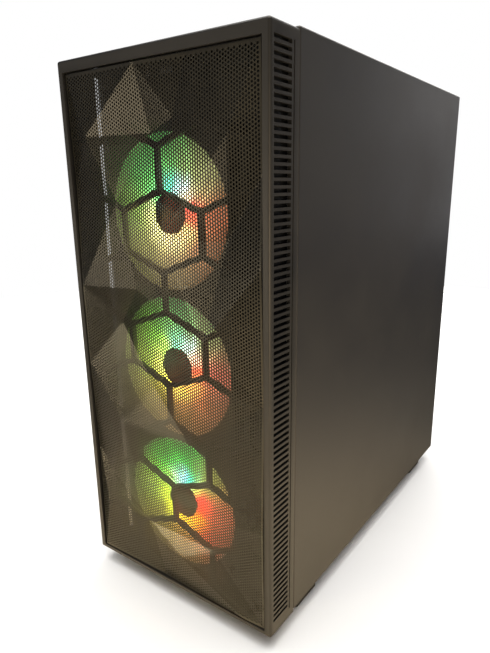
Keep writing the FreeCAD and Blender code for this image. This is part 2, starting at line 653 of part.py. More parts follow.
# stack of rear connectors standing in the window of the rear plate
ports = [box("port%d" % i, face - 30.0 + d, face - 2.0, Y(362.0), Y(rear_y) + 1.2, z0, z1)
         for i, (z0, z1, d) in enumerate(((415.0, 430.0, 0), (394.0, 412.0, 2), (371.0, 391.0, 0), (349.0, 368.0, 0), (327.0, 346.0, 0), (290.0, 322.0, 3)))]
keep(group("rear_ports", ports), "rear_ports")
io = box("io_sheet", 33.0, 76.0, Y(rear_y) - 0.6, Y(rear_y) - 0.1, 272.0, 435.0)
io = cut("io_shield", io, [box("io_hole%d" % i, face - 30.5 + d, face - 1.5, Y(380.0), Y(386.0), z0 - 0.5, z1 + 0.5)
                           for i, (z0, z1, d) in enumerate(((415.0, 430.0, 0), (394.0, 412.0, 2), (371.0, 391.0, 0), (349.0, 368.0, 0), (327.0, 346.0, 0), (290.0, 322.0, 3)))])
keep(io, "io_shield")

# ---------------------------------------------------------------- processor cooler
fx0, fx1 = dim("cooler_fin_x0", -73.0), dim("cooler_fin_x1", 42.0)
cooler_base = box("cooler_base_block", face - 19.0, face - 7.0, cpu_y - 20, cpu_y + 20, cpu_z - 20, cpu_z + 20)
fins = []
nf = 38
for i in range(nf):
    x = fx0.v + (fx1.v - fx0.v - 0.8) * i / (nf - 1)
    fins.append(Part.makeBox(0.8, 48.0, 116.0, Vector(x, cpu_y.v - 22.0, cpu_z.v - 58.0)))
core = Part.makeBox(fx1.v - fx0.v, 8.0, 30.0, Vector(fx0.v, cpu_y.v - 2, cpu_z.v - 15))
fin_shape = core.multiFuse(fins)
PIPES = [(cpu_y.v - 12, cpu_z.v - 42), (cpu_y.v + 12, cpu_z.v - 28), (cpu_y.v + 12, cpu_z.v + 28), (cpu_y.v - 12, cpu_z.v + 42)]
for yy, zz in PIPES:
    fin_shape = fin_shape.cut(Part.makeCylinder(3.1, 200, Vector(-100, yy, zz), Vector(1, 0, 0)))
o = doc.addObject("Part::Feature", "cooler_fins")
o.Shape = fin_shape
keep(o, "cooler_fins")
pp = []
for i, (yy, zz) in enumerate(PIPES):
    # from the base outward, a bend, then straight through the fins
    z_in = cpu_z.v + (zz - cpu_z.v) * 0.3
    zt_ = 19.0 if zz > cpu_z.v else -19.0
    rad = 10.0
    x_base = face.v - 13.0
    p0 = Vector(x_base, yy, cpu_z.v + (20.0 if zz > cpu_z.v else -20.0))
    sgn = 1.0 if zz > cpu_z.v else -1.0
    run = abs(zz - p0.z)
    rad = min(10.0, run - 0.01) if run > 0.1 else 6.0
    a = Vector(x_base, yy, zz - sgn * rad)
    m_ = Vector(x_base - rad * (1 - math.cos(math.pi / 4)), yy, zz - sgn * rad + sgn * rad * math.sin(math.pi / 4))
    c_ = Vector(x_base - rad, yy, zz)
    end = Vector(fx0.v - 3.0, yy, zz)
    es = []
    if (a - p0).Length > 0.05:
        es.append(Part.LineSegment(p0, a).toShape())
    es.append(Part.Arc(a, m_, c_).toShape())
    es.append(Part.LineSegment(c_, end).toShape())
    path = Part.Wire(es)
    start = path.Edges[0].Vertexes[0].Point
    prof = Part.Wire([Part.Circle(a if len(es) == 2 else p0, Vector(0, 0, 1), 3.0).toShape()])
    pp.append(path.makePipeShell([prof], True, False))
o = doc.addObject("Part::Feature", "cooler_pipes")
o.Shape = Part.makeCompound(pp)
keep(group("cooler_base", [cooler_base, o]), "cooler_base")
pl = Placement(Vector((fx0.v + fx1.v) / 2, cpu_y.v - 22.5 - 25.0, cpu_z.v), TO_Y)
fan_frame("cooler_fan_frame", pl)
rotor("cooler_fan_rotor", fan_rotor, pl)

# ---------------------------------------------------------------- graphics card
gy0, gy1 = dim("card_y0", -53.0), Y(rear_y) - 1.6
gx0, gx1 = dim("card_x0", -43.0), face - 4.0
gz = slot0
keep(fuse("graphics_board", [box("gb_board", gx0 + 4, gx1 - 7.6, gy0 + 6, gy1 - 1, gz - 0.8, gz + 0.8),
                             box("gb_fingers", gx1 - 7.8, face - 3.2, Y(272.0), Y(357.0), gz - 0.8, gz + 0.8)]), "graphics_board")
keep(box("graphics_backplate", gx0, gx1 - 7.6, gy0, gy1 - 1, gz + 2.4, gz + 3.9), "graphics_backplate")
gf = [Part.makeBox(gx1.v - gx0.v - 16, 1.0, 14.0, Vector(gx0.v + 4, gy0.v + 8 + 4.0 * i, gz.v - 18.5)) for i in range(55)]
plate_s = Part.makeBox(gx1.v - gx0.v - 16, 217.5, 3.2, Vector(gx0.v + 4, gy0.v + 8, gz.v - 4.7))
o = doc.addObject("Part::Feature", "graphics_heatsink")
o.Shape = plate_s.multiFuse(gf)
keep(o, "graphics_heatsink")
g_fans = (gy0.v + 60.0, gy0.v + 168.0)
gcx = (gx0.v + gx1.v - 4) / 2
body_ = box("gs_body", gx0, gx1 - 7.6, gy0, gy1 - 3, gz - 38.0, gz - 1.2)
hollow = box("gs_hollow", gx0 + 2, gx1 - 9.6, gy0 + 3, gy1 - 1, gz - 20.0, gz + 1)
bores = [cyl("gs_bore%d" % i, "z", 46.0, 30.0, gcx, y, gz - 40.0) for i, y in enumerate(g_fans)]
sh = cut("graphics_shroud_a", body_, [hollow] + bores)
arms = []
for i, y in enumerate(g_fans):
    arms.append(cut("gs_seat%d" % i, fuse("gs_arm%d" % i, [
        box("gs_arma%d" % i, gcx - 48.0, gcx + 48.0, y - 2.0, y + 2.0, gz - 23.0, gz - 20.0),
        cyl("gs_disc%d" % i, "z", 14.0, 3.0, gcx, y, gz - 23.0)]),
        [cyl("gs_hole%d" % i, "z", 1.55, 10.0, gcx, y, gz - 26.0)]))
keep(fuse("graphics_shroud", [sh] + arms), "graphics_shroud")
gr = rotor_shape(15.0, 44.0, 1.0, 12.5, 11, 42.0, 28.0, 1.4, 1.5, 15.5)
for i, y in enumerate(g_fans):
    rotor("graphics_rotor_%d" % (i + 1), gr, Placement(Vector(gcx, y, gz.v - 38.0), Rotation()))
card_bracket = fuse("graphics_bracket", [box("gbr_a", -41.0, 74.5, Y(rear_y) - 1.0, Y(rear_y) - 0.1, gz - 29.5, gz + 9.2),
                               box("gbr_p1", 20.0, 36.0, Y(rear_y) - 1.0, Y(rear_y) + 1.2, gz - 3.5, gz + 4.0),
                               box("gbr_p2", -6.0, 10.0, Y(rear_y) - 1.0, Y(rear_y) + 1.2, gz - 3.5, gz + 4.0)])
cov = [box("cover%d" % k, -41.0, 74.5, Y(rear_y) - 1.0, Y(rear_y) - 0.1, slot0 - slot_dz * k - 9.2, slot0 - slot_dz * k + 9.2) for k in range(2, 7)]
keep(group("slot_brackets", [card_bracket] + cov), "slot_brackets")

# ---------------------------------------------------------------- power supply
py0, py1 = Y(rear_y) - psu_l - 0.1, Y(rear_y) - 0.1
case = box("ps_case", PSX0, PSX1, py0, py1, psu_z, psu_z + psu_h)
room = box("ps_room", PSX0 + 1, PSX1 - 1, py0 + 1, py1 - 1, psu_z + 1, psu_z + psu_h - 1)
pfx, pfy = psu_x, py0 + 62.0
hole = cyl("ps_fan_hole", "z", 58.5, 4.0, pfx, pfy, psu_z - 1)
inlet_h = box("ps_inlet_hole", 44.0, 72.2, py1 - 3, py1 + 1, psu_z + 15.8, psu_z + 40.2)
sw_h = box("ps_switch_hole", 50.9, 66.1, py1 - 3, py1 + 1, psu_z + 50.9, psu_z + 64.1)
vents = [box("ps_vent%d" % i, PSX0 + 8, 36.0, py1 - 3, py1 + 1, psu_z + 10 + 7.0 * i, psu_z + 13.5 + 7.0 * i) for i in range(10)]
keep(cut("supply_case", case, [room, hole, inlet_h, sw_h] + vents), "supply_case")
inl = cut("supply_inlet_a", box("inlet_body", 44.2, 72.0, py1 - 18, py1 + 0.0, psu_z + 16.0, psu_z + 40.0),
          [box("inlet_well", 47.0, 69.2, py1 - 14, py1 + 2, psu_z + 19.5, psu_z + 36.5)])
pins = [box("inlet_pin%d" % i, x - 2, x + 2, py1 - 15, py1 - 4, psu_z + z - 1, psu_z + z + 1) for i, (x, z) in enumerate(((51.5, 31.0), (64.7, 31.0), (58.1, 25.0)))]
keep(fuse("supply_inlet", [inl] + pins), "supply_inlet")
# rocker switch: a barrel that turns about X, with its two raised ends
swz = psu_z + 57.5
rk = doc.addObject("Part::Feature", "supply_switch")
cs_ = Part.makeCylinder(5.0, 12.6, Vector(52.2, 0, 0), Vector(1, 0, 0))
prof = Part.makePolygon([Vector(52.2, 1.0, -5.6), Vector(52.2, 4.4, -5.4), Vector(52.2, 3.0, 0), Vector(52.2, 2.2, 5.6), Vector(52.2, -1.0, 5.0), Vector(52.2, 1.0, -5.6)])
pad_ = Part.Face(prof).extrude(Vector(12.6, 0, 0))
rk.Shape = cs_.common(Part.makeBox(40, 10, 9.0, Vector(40, -6.5, -4.5))).fuse(pad_).removeSplitter()
rk.Placement = Placement(Vector(0, (py1 - 1.5).v, swz.v), Rotation())
keep(rk, "supply_switch")
# fan in the floor of the supply, air flows up
pr = rotor_shape(17.0, 55.0, 2.2, 17.0, 9, 44.0, 27.0, 1.5, 1.5, 21.0)
rotor("supply_fan_rotor", pr, Placement(Vector(num(pfx), num(pfy), num(psu_z)), Rotation()))
seat = cut("supply_fan_seat", fuse("ps_seat_a", [
    cyl("ps_seat_disc", "z", 16.0, 3.0, pfx, pfy, psu_z + 19.0),
    box("ps_seat_x", PSX0 + 1.0, PSX1 - 1.0, pfy - 3, pfy + 3, psu_z + 19.0, psu_z + 22.0)]),
    [cyl("ps_seat_hole", "z", 1.55, 8.0, pfx, pfy, psu_z + 17.0)])
keep(seat, "supply_fan_seat")
rings = []
for i, r in enumerate((54.0, 44.0, 34.0, 24.0)):
    rings.append(cut("pg_ring%d" % i, cyl("pg_o%d" % i, "z", r + 1.0, 0.5, pfx, pfy, psu_z - 0.5),
                     [cyl("pg_i%d" % i, "z", r - 1.0, 2.0, pfx, pfy, psu_z - 1.0)]))
rings.append(box("pg_b1", pfx - 59.5, pfx + 59.5, pfy - 1.2, pfy + 1.2, psu_z - 0.5, psu_z))
rings.append(box("pg_b2", pfx - 1.2, pfx + 1.2, pfy - 59.5, pfy + 59.5, psu_z - 0.5, psu_z))
supply_guard = fuse("supply_guard", rings)

# ---------------------------------------------------------------- rear fan guard: rings and spokes over the hole
rings = []
for i, r in enumerate((55.5, 46.0, 36.5, 27.0, 17.5)):
    rings.append(cut("rg_ring%d" % i, cyl("rg_o%d" % i, "y", r + 1.0, 1.6, rfx, Y(rear_y) + 1, rfz),
                     [cyl("rg_i%d" % i, "y", r - 1.0, 4.0, rfx, Y(rear_y), rfz)]))
spoke1 = box("rg_b1", rfx - 58.0, rfx + 58.0, Y(rear_y) + 1, Y(rear_y) + 2.6, rfz - 1.4, rfz + 1.4)
spoke2 = box("rg_b2", rfx - 1.4, rfx + 1.4, Y(rear_y) + 1, Y(rear_y) + 2.6, rfz - 58.0, rfz + 58.0)
keep(group("fan_guards", [supply_guard, fuse("rear_guard", rings + [spoke1, spoke2])]), "fan_guards")

# ---------------------------------------------------------------- side panels
for side, sx in (("right", 1), ("left", -1)):
    x_out, x_in = half_w, half_w - panel_d
    if sx > 0:
        b = new_body("right_panel_tray")
        sk = sketch_on(b, "panel_outline", "YZ_Plane")
        rect(sk, Y(panel_y0), Y(panel_y1), panel_z0, panel_z1)
        pd = pad(b, sk, "panel_block", panel_d)
        fl = b.newObject("PartDesign::Fillet", "panel_edges")
        xo = num(panel_d)
        fl.Base = (pd, edges_where(pd.Shape, lambda bb, e: bb.XMin > xo - 1e-4 or bb.XLength > xo - 1e-4))
        put(fl, "Radius", panel_round)
        doc.recompute()
        sk = sketch_on(b, "panel_hollow", "YZ_Plane")
        rect(sk, Y(panel_y0 + panel_t), Y(panel_y1 - panel_t), panel_z0 + panel_t, panel_z1 - panel_t)
        pocket(b, sk, "panel_inside", panel_d - panel_t, True)
        put(b, "Placement.Base.x", x_in)
        doc.recompute()
        flange = box("panel_flange", 88.0, x_in + 1, Y(panel_y1 - panel_t), Y(panel_y1), panel_z0 + 3, panel_z1 - 3)
        holes = [cyl("panel_hole%d" % i, "y", 2.2, 4.0, 92.0, Y(panel_y1) - 2, z) for i, z in enumerate((70.0, 400.0))]
        keep(fuse("side_panel_right_b", [b, cut("panel_flange_b", flange, holes)]), "side_panel_right")
    else:
        glass = box("glass_sheet", -x_out, -(x_out - 3.0), Y(panel_y0), Y(panel_y1), panel_z0, panel_z1)
        gl = doc.addObject("Part::Fillet", "glass_panel")
        gl.Base = glass
        doc.recompute()
        gl.Edges = [(i + 1, 2.0, 2.0) for i, e in enumerate(glass.Shape.Edges) if e.BoundBox.XLength > 2.9]
        keep(gl, "glass_panel")
        ring = cut("glass_frame_a", box("gf_o", -(x_out - 3.0), -(x_out - 3.8), Y(panel_y0) + 5, Y(panel_y1), panel_z0 + 1, panel_z1 - 1),
                   [box("gf_i", -x_out, -(x_out - 6.0), Y(panel_y0) + 19, Y(panel_y1) - 15, panel_z0 + 15, panel_z1 - 15)])
        flange = box("gf_flange", -(x_out - 3.6), -88.0, Y(panel_y1 - panel_t), Y(panel_y1), panel_z0 + 3, panel_z1 - 3)
        holes = [cyl("gf_hole%d" % i, "y", 2.2, 4.0, -92.0, Y(panel_y1) - 2, z) for i, z in enumerate((70.0, 400.0))]
        keep(cut("glass_frame", fuse("glass_frame_b", [ring, flange]), holes), "glass_frame")
    sc = []
    for i, z in enumerate((70.0, 400.0)):
        sc.append(fuse("thumb_%s%d" % (side, i), [
            cyl("th_head_%s%d" % (side, i), "y", 4.8, 6.0, 92.0 * sx, Y(panel_y1), z),
            cyl("th_shank_%s%d" % (side, i), "y", 1.7, 6.0, 92.0 * sx, Y(panel_y1) - 5.8, z)]))
    keep(group("thumb_screws_" + side, sc), "thumb_screws_" + side)

# ---------------------------------------------------------------- filters, feet, small hardware
tf = cut("top_filter_frame_a", box("tf_o", -78.0, 62.0, Y(58.0), Y(360.0), filter_z, filter_z + filter_t),
         [box("tf_i1", -71.0, 55.0, Y(65.0), Y(206.0), filter_z - 1, filter_z + 4),
          box("tf_i2", -71.0, 55.0, Y(212.0), Y(353.0), filter_z - 1, filter_z + 4)])
keep(tf, "top_filter_frame")
keep(group("top_filter_mesh", [box("tf_m1", -71.0, 55.0, Y(65.0), Y(206.0), filter_z + 0.5, filter_z + 1.1),
                               box("tf_m2", -71.0, 55.0, Y(212.0), Y(353.0), filter_z + 0.5, filter_z + 1.1)]), "top_filter_mesh")
fx = dim("floor_filter_half_width", 58.0)
bf = cut("floor_filter_frame_a", box("bf_o", psu_x - fx, psu_x + fx - 4, Y(246.0), Y(386.0), floor_z - 2.6, floor_z - 0.6),
         [box("bf_i", psu_x - fx + 6, psu_x + fx - 10, Y(252.0), Y(378.0), floor_z - 4, floor_z + 1)])
keep(group("floor_filter", [bf, box("floor_filter_mesh", psu_x - fx + 6, psu_x + fx - 10, Y(252.0), Y(378.0), floor_z - 2.0, floor_z - 1.4)]), "floor_filter")
rl = []
for i, (xa, xb, xc) in enumerate(((-57.0, -53.6, -50.0), (63.0, 59.6, 56.0))):
    lo, hi = min(xa, xb), max(xa, xb)
    l2, h2 = min(xa, xc), max(xa, xc)
    rl.append(fuse("rail%d" % i, [box("rail_w%d" % i, lo, hi, Y(250.0), Y(382.0), floor_z - 4.2, floor_z),
                                  box("rail_l%d" % i, l2, h2, Y(250.0), Y(382.0), floor_z - 4.2, floor_z - 3.0)]))
keep(group("filter_rails", rl), "filter_rails")
ft, pdz = [], []
for i, (sx, ya) in enumerate(((1, 50.0), (-1, 50.0), (1, 325.0), (-1, 325.0))):
    xa = foot_x if sx > 0 else -(foot_x + foot_w)
    blk = box("foot_block%d" % i, xa, xa + foot_w, Y(ya), Y(ya) + foot_l, foot_pad, foot_z)
    fl = doc.addObject("Part::Chamfer", "foot%d" % i)
    fl.Base = blk
    doc.recompute()
    fl.Edges = [(k + 1, 2.0, 2.0) for k, e in enumerate(blk.Shape.Edges) if e.BoundBox.ZLength > 5]
    ft.append(fl)
    pdz.append(box("foot_pad%d" % i, xa + 3, xa + foot_w - 3, Y(ya) + 3, Y(ya) + foot_l - 3, 0.0, foot_pad))
keep(group("feet", ft + pdz), "feet")
scr = []
k = 0
for z in fan_zs:
    for dx in (-52.5, 52.5):
        for dz in (-52.5, 52.5):
            yy = Y(fan_y) + fan_t + sheet_t
            scr.append(fuse("fscrew%d" % k, [cyl("fs_h%d" % k, "y", 3.8, 2.0, dx, yy, z + dz),
                                             cyl("fs_s%d" % k, "y", 2.0, 8.0, dx, yy - 8, z + dz)]))
            k += 1
for dx in (-52.5, 52.5):
    for dz in (-52.5, 52.5):
        yy = Y(rear_y) + sheet_t
        scr.append(fuse("fscrew%d" % k, [cyl("fs_h%d" % k, "y", 3.8, 2.0, rfx + dx, yy, rfz + dz),
                                         cyl("fs_s%d" % k, "y", 2.0, 8.0, rfx + dx, yy - 8, rfz + dz)]))
        k += 1
keep(group("fan_screws", scr), "fan_screws")

# ---------------------------------------------------------------- check and write
doc.recompute()
bad = []
for o in doc.Objects:
    if any(s in ("Invalid", "Error") for s in o.State):
        bad.append("%s state %s" % (o.Name, o.State))
labels = [o.Label for o in PARTS]
if len(set(labels)) != len(labels):
    bad.append("duplicate labels")
for o in PARTS:
    s = o.Shape
    if s.isNull():
        bad.append("%s is null" % o.Label)
    elif not s.isValid():
        bad.append("%s is not valid" % o.Label)
    elif not s.Solids:
        bad.append("%s has no solid" % o.Label)
if bad:
    raise RuntimeError("; ".join(bad))
os.makedirs("parts", exist_ok=True)
tot = FreeCAD.BoundBox()
for o in PARTS:
    o.Shape.exportStep("parts/%s.step" % o.Label)
    tot.add(o.Shape.BoundBox)
print("nodes", len(PARTS), "box", tot)
for o in PARTS:
    bb = o.Shape.BoundBox
    print("%-24s solids %2d vol %11.1f  x %.1f..%.1f y %.1f..%.1f z %.1f..%.1f" % (
        o.Label, len(o.Shape.Solids), o.Shape.Volume, bb.XMin, bb.XMax, bb.YMin, bb.YMax, bb.ZMin, bb.ZMax))
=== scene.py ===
import math
import random

import bmesh
import bpy
import numpy as np
from mathutils import Matrix, Vector


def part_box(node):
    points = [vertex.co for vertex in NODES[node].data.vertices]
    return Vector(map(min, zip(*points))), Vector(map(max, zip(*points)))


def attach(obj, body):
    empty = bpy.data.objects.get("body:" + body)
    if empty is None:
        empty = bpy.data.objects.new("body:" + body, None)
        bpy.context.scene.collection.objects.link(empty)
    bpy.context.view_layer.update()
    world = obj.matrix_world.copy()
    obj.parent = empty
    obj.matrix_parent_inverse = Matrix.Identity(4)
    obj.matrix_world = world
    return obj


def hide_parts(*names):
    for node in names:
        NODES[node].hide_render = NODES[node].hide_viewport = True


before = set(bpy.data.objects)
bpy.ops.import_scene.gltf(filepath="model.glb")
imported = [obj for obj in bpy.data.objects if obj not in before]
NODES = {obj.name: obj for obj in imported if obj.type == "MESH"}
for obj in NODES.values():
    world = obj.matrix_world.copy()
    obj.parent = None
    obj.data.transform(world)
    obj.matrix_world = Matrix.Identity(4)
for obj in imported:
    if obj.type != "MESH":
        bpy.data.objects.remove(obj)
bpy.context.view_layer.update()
scene = bpy.context.scene
MM = 0.001


# ------------------------------------------------------------------ camera
def aim(obj, pos, forward, up):
    f = Vector(forward).normalized()
    r = f.cross(Vector(up)).normalized()
    u = r.cross(f)
    m = Matrix((r, u, -f)).transposed().to_4x4()
    m.translation = Vector(pos)
    obj.matrix_world = m


cam_data = bpy.data.cameras.new("camera")
cam = bpy.data.objects.new("camera", cam_data)
scene.collection.objects.link(cam)
aim(cam, (0.29239, -0.48095, 0.35513), (-0.55874, 0.78793, -0.25878), (-0.14383, 0.21525, 0.96591))
cam_data.sensor_width = 36.0
cam_data.lens = 29.714
cam_data.shift_x = -0.01943
cam_data.shift_y = 0.00616
cam_data.clip_start = 0.01
cam_data.clip_end = 60.0
scene.camera = cam

scene.view_settings.view_transform = "Standard"
scene.view_settings.look = "None"
scene.view_settings.exposure = 0.0
scene.view_settings.gamma = 1.0


# ------------------------------------------------------------------ node helpers
class Nodes:
    """A material under construction."""

    def __init__(self, name):
        self.m = bpy.data.materials.new(name)
        self.m.use_nodes = True
        self.t = self.m.node_tree
        self.t.nodes.clear()
        self.out = self.t.nodes.new("ShaderNodeOutputMaterial")
        self.b = self.t.nodes.new("ShaderNodeBsdfPrincipled")
        self.t.links.new(self.b.outputs[0], self.out.inputs["Surface"])
        self.co = self.t.nodes.new("ShaderNodeTexCoord").outputs["Object"]

    def new(self, kind, **props):
        n = self.t.nodes.new("ShaderNode" + kind)
        for k, v in props.items():
            setattr(n, k, v)
        return n

    def link(self, a, b):
        self.t.links.new(a, b)

    def put(self, node, name, value):
        s = node.inputs[name]
        if isinstance(value, bpy.types.NodeSocket):
            self.link(value, s)
        else:
            s.default_value = value
        return s

    def noise(self, scale, detail=3.0, rough=0.5, vec=None, stretch=None):
        n = self.new("TexNoise")
        v = vec or self.co
        if stretch:
            mp = self.new("Mapping")
            self.link(v, mp.inputs["Vector"])
            mp.inputs["Scale"].default_value = stretch
            v = mp.outputs[0]
        self.link(v, n.inputs["Vector"])
        n.inputs["Scale"].default_value = scale
        n.inputs["Detail"].default_value = detail
        n.inputs["Roughness"].default_value = rough
        return n.outputs["Fac"]

    def cells(self, scale, feature="F1"):
        n = self.new("TexVoronoi", feature=feature)
        self.link(self.co, n.inputs["Vector"])
        n.inputs["Scale"].default_value = scale
        return n.outputs["Distance"]

    def ramp(self, fac, stops, mode="LINEAR"):
        n = self.new("ValToRGB")
        n.color_ramp.interpolation = mode
        e = n.color_ramp.elements
        while len(e) < len(stops):
            e.new(0.5)
        for i, (p, c) in enumerate(stops):
            e[i].position = p
            e[i].color = c if len(c) == 4 else (*c, 1.0)
        self.link(fac, n.inputs[0])
        return n.outputs[0]

    def range(self, v, a, b, c, d, clamp=True):
        n = self.new("MapRange", clamp=clamp)
        self.link(v, n.inputs["Value"])
        for k, x in zip(("From Min", "From Max", "To Min", "To Max"), (a, b, c, d)):
            n.inputs[k].default_value = x
        return n.outputs[0]

    def math(self, op, a, b=None):
        n = self.new("Math", operation=op)
        for i, v in enumerate((a, b)):
            if v is None:
                continue
            if isinstance(v, bpy.types.NodeSocket):
                self.link(v, n.inputs[i])
            else:
                n.inputs[i].default_value = v
        return n.outputs[0]

    def mix(self, fac, a, b, mode="MIX"):
        n = self.new("Mix", data_type="RGBA", blend_type=mode)
        for i, v in ((0, fac), (6, a), (7, b)):
            if isinstance(v, bpy.types.NodeSocket):
                self.link(v, n.inputs[i])
            elif i == 0:
                n.inputs[i].default_value = v
            else:
                n.inputs[i].default_value = (*v, 1.0)
        return n.outputs[2]

    def bump(self, height, strength=0.2, distance=0.0002, before=None):
        n = self.new("Bump")
        n.inputs["Strength"].default_value = strength
        n.inputs["Distance"].default_value = distance
        self.link(height, n.inputs["Height"])
        if before is not None:
            self.link(before, n.inputs["Normal"])
        return n.outputs[0]


def finish_of(name, dark, light, rough=(0.35, 0.5), metal=0.0, grain=3500.0, grain_bump=0.15, patch=18.0,
              spec=0.5, tint=None, coat=0.0, coat_rough=0.2, stretch=None, wear=0.0, distance=0.00012):
    """Moulded, painted or machined surface: patchy tone, fine grain in the relief and the gloss."""
    k = Nodes(name)
    big = k.noise(patch, 4.0, 0.6)
    fine = k.noise(grain, 2.0, 0.6, stretch=stretch)
    both = k.math("ADD", k.math("MULTIPLY", big, 0.7), k.math("MULTIPLY", fine, 0.3))
    col = k.ramp(both, [(0.3, dark), (0.7, light)])
    if wear:
        g = k.new("NewGeometry")
        edge = k.range(g.outputs["Pointiness"], 0.52, 0.62, 0.0, wear)
        col = k.mix(edge, col, tuple(min(1.0, c * 3 + 0.05) for c in light))
    k.put(k.b, "Base Color", col)
    k.put(k.b, "Roughness", k.range(both, 0.3, 0.7, rough[0], rough[1]))
    k.b.inputs["Metallic"].default_value = metal
    k.b.inputs["Specular IOR Level"].default_value = spec
    if tint:
        k.b.inputs["Specular Tint"].default_value = (*tint, 1.0)
    if coat:
        k.b.inputs["Coat Weight"].default_value = coat
        k.b.inputs["Coat Roughness"].default_value = coat_rough
    k.put(k.b, "Normal", k.bump(fine, grain_bump, distance))
    return k.m


WARM = (1.0, 0.9, 0.76)
MAT = {}
MAT["shell_plastic"] = finish_of("shell_plastic", (0.006, 0.006, 0.006), (0.013, 0.0125, 0.0115), (0.33, 0.46), grain=2600.0,
                                 grain_bump=0.22, spec=0.40, tint=WARM, wear=0.25)
MAT["strip_plastic"] = finish_of("strip_plastic", (0.009, 0.009, 0.009), (0.018, 0.017, 0.0155), (0.30, 0.42), grain=2600.0,
                                 grain_bump=0.18, spec=0.52, tint=WARM, wear=0.2)
MAT["comb_plastic"] = finish_of("comb_plastic", (0.006, 0.006, 0.006), (0.012, 0.012, 0.011), (0.45, 0.6), grain=2400.0,
                                grain_bump=0.2, spec=0.4)
MAT["powder_black"] = finish_of("powder_black", (0.0105, 0.0105, 0.0118), (0.018, 0.0177, 0.0178), (0.34, 0.46), grain=1900.0,
                                grain_bump=0.3, patch=9.0, spec=0.62, tint=WARM, distance=0.00018)
MAT["steel_inside"] = finish_of("steel_inside", (0.020, 0.020, 0.021), (0.034, 0.034, 0.035), (0.38, 0.52), grain=1900.0,
                                grain_bump=0.3, spec=0.5, distance=0.00018)
MAT["zinc_steel"] = finish_of("zinc_steel", (0.42, 0.42, 0.43), (0.6, 0.6, 0.6), (0.28, 0.45), metal=1.0, grain=1500.0,
                              grain_bump=0.08, patch=60.0)
MAT["black_zinc"] = finish_of("black_zinc", (0.06, 0.06, 0.063), (0.13, 0.13, 0.135), (0.22, 0.38), metal=0.9, grain=2200.0,
                              grain_bump=0.1, patch=120.0, wear=0.5)
MAT["fin_alloy"] = finish_of("fin_alloy", (0.50, 0.51, 0.52), (0.68, 0.69, 0.70), (0.25, 0.4), metal=1.0, grain=900.0,
                             grain_bump=0.06, stretch=(1.0, 1.0, 14.0))
MAT["black_alloy"] = finish_of("black_alloy", (0.035, 0.035, 0.037), (0.07, 0.07, 0.073), (0.3, 0.42), metal=0.7, grain=900.0,
                               grain_bump=0.08, stretch=(1.0, 16.0, 1.0), wear=0.4)
MAT["copper"] = finish_of("copper", (0.62, 0.29, 0.17), (0.82, 0.45, 0.29), (0.16, 0.32), metal=1.0, grain=800.0,
                          grain_bump=0.05, patch=90.0)
MAT["brass"] = finish_of("brass", (0.62, 0.45, 0.18), (0.8, 0.62, 0.3), (0.2, 0.34), metal=1.0, grain=1800.0, grain_bump=0.06)
MAT["nickel"] = finish_of("nickel", (0.55, 0.54, 0.52), (0.74, 0.73, 0.70), (0.16, 0.3), metal=1.0, grain=1400.0,
                          grain_bump=0.05, patch=150.0)
MAT["drive_cast"] = finish_of("drive_cast", (0.36, 0.37, 0.38), (0.5, 0.5, 0.51), (0.34, 0.5), metal=0.9, grain=1300.0,
                              grain_bump=0.25, patch=40.0)
MAT["fan_black"] = finish_of("fan_black", (0.011, 0.011, 0.012), (0.021, 0.021, 0.022), (0.38, 0.52), grain=2600.0,
                             grain_bump=0.2, spec=0.45)
MAT["socket_black"] = finish_of("socket_black", (0.012, 0.012, 0.013), (0.024, 0.024, 0.025), (0.34, 0.5), grain=2400.0,
                                grain_bump=0.14)
MAT["jacket_black"] = finish_of("jacket_black", (0.03, 0.03, 0.032), (0.055, 0.055, 0.058), (0.28, 0.4), metal=0.8, grain=900.0,
                                grain_bump=0.08, stretch=(1.0, 1.0, 12.0), wear=0.3)
MAT["rubber"] = finish_of("rubber", (0.012, 0.012, 0.012), (0.026, 0.025, 0.024), (0.62, 0.8), grain=1500.0, grain_bump=0.4,
                          patch=60.0, spec=0.35)
MAT["tongue_blue"] = finish_of("tongue_blue", (0.015, 0.06, 0.24), (0.03, 0.1, 0.34), (0.35, 0.5), grain=2400.0, grain_bump=0.1)
MAT["ring_green"] = finish_of("ring_green", (0.07, 0.3, 0.09), (0.12, 0.42, 0.15), (0.35, 0.5), grain=2400.0, grain_bump=0.1)
MAT["ring_pink"] = finish_of("ring_pink", (0.5, 0.13, 0.2), (0.62, 0.2, 0.28), (0.35, 0.5), grain=2400.0, grain_bump=0.1)
MAT["chip_black"] = finish_of("chip_black", (0.014, 0.014, 0.015), (0.03, 0.03, 0.03), (0.4, 0.6), grain=2200.0, grain_bump=0.2)
MAT["can_alloy"] = finish_of("can_alloy", (0.55, 0.55, 0.56), (0.74, 0.74, 0.75), (0.2, 0.34), metal=1.0, grain=900.0,
                             grain_bump=0.04, stretch=(14.0, 1.0, 1.0))


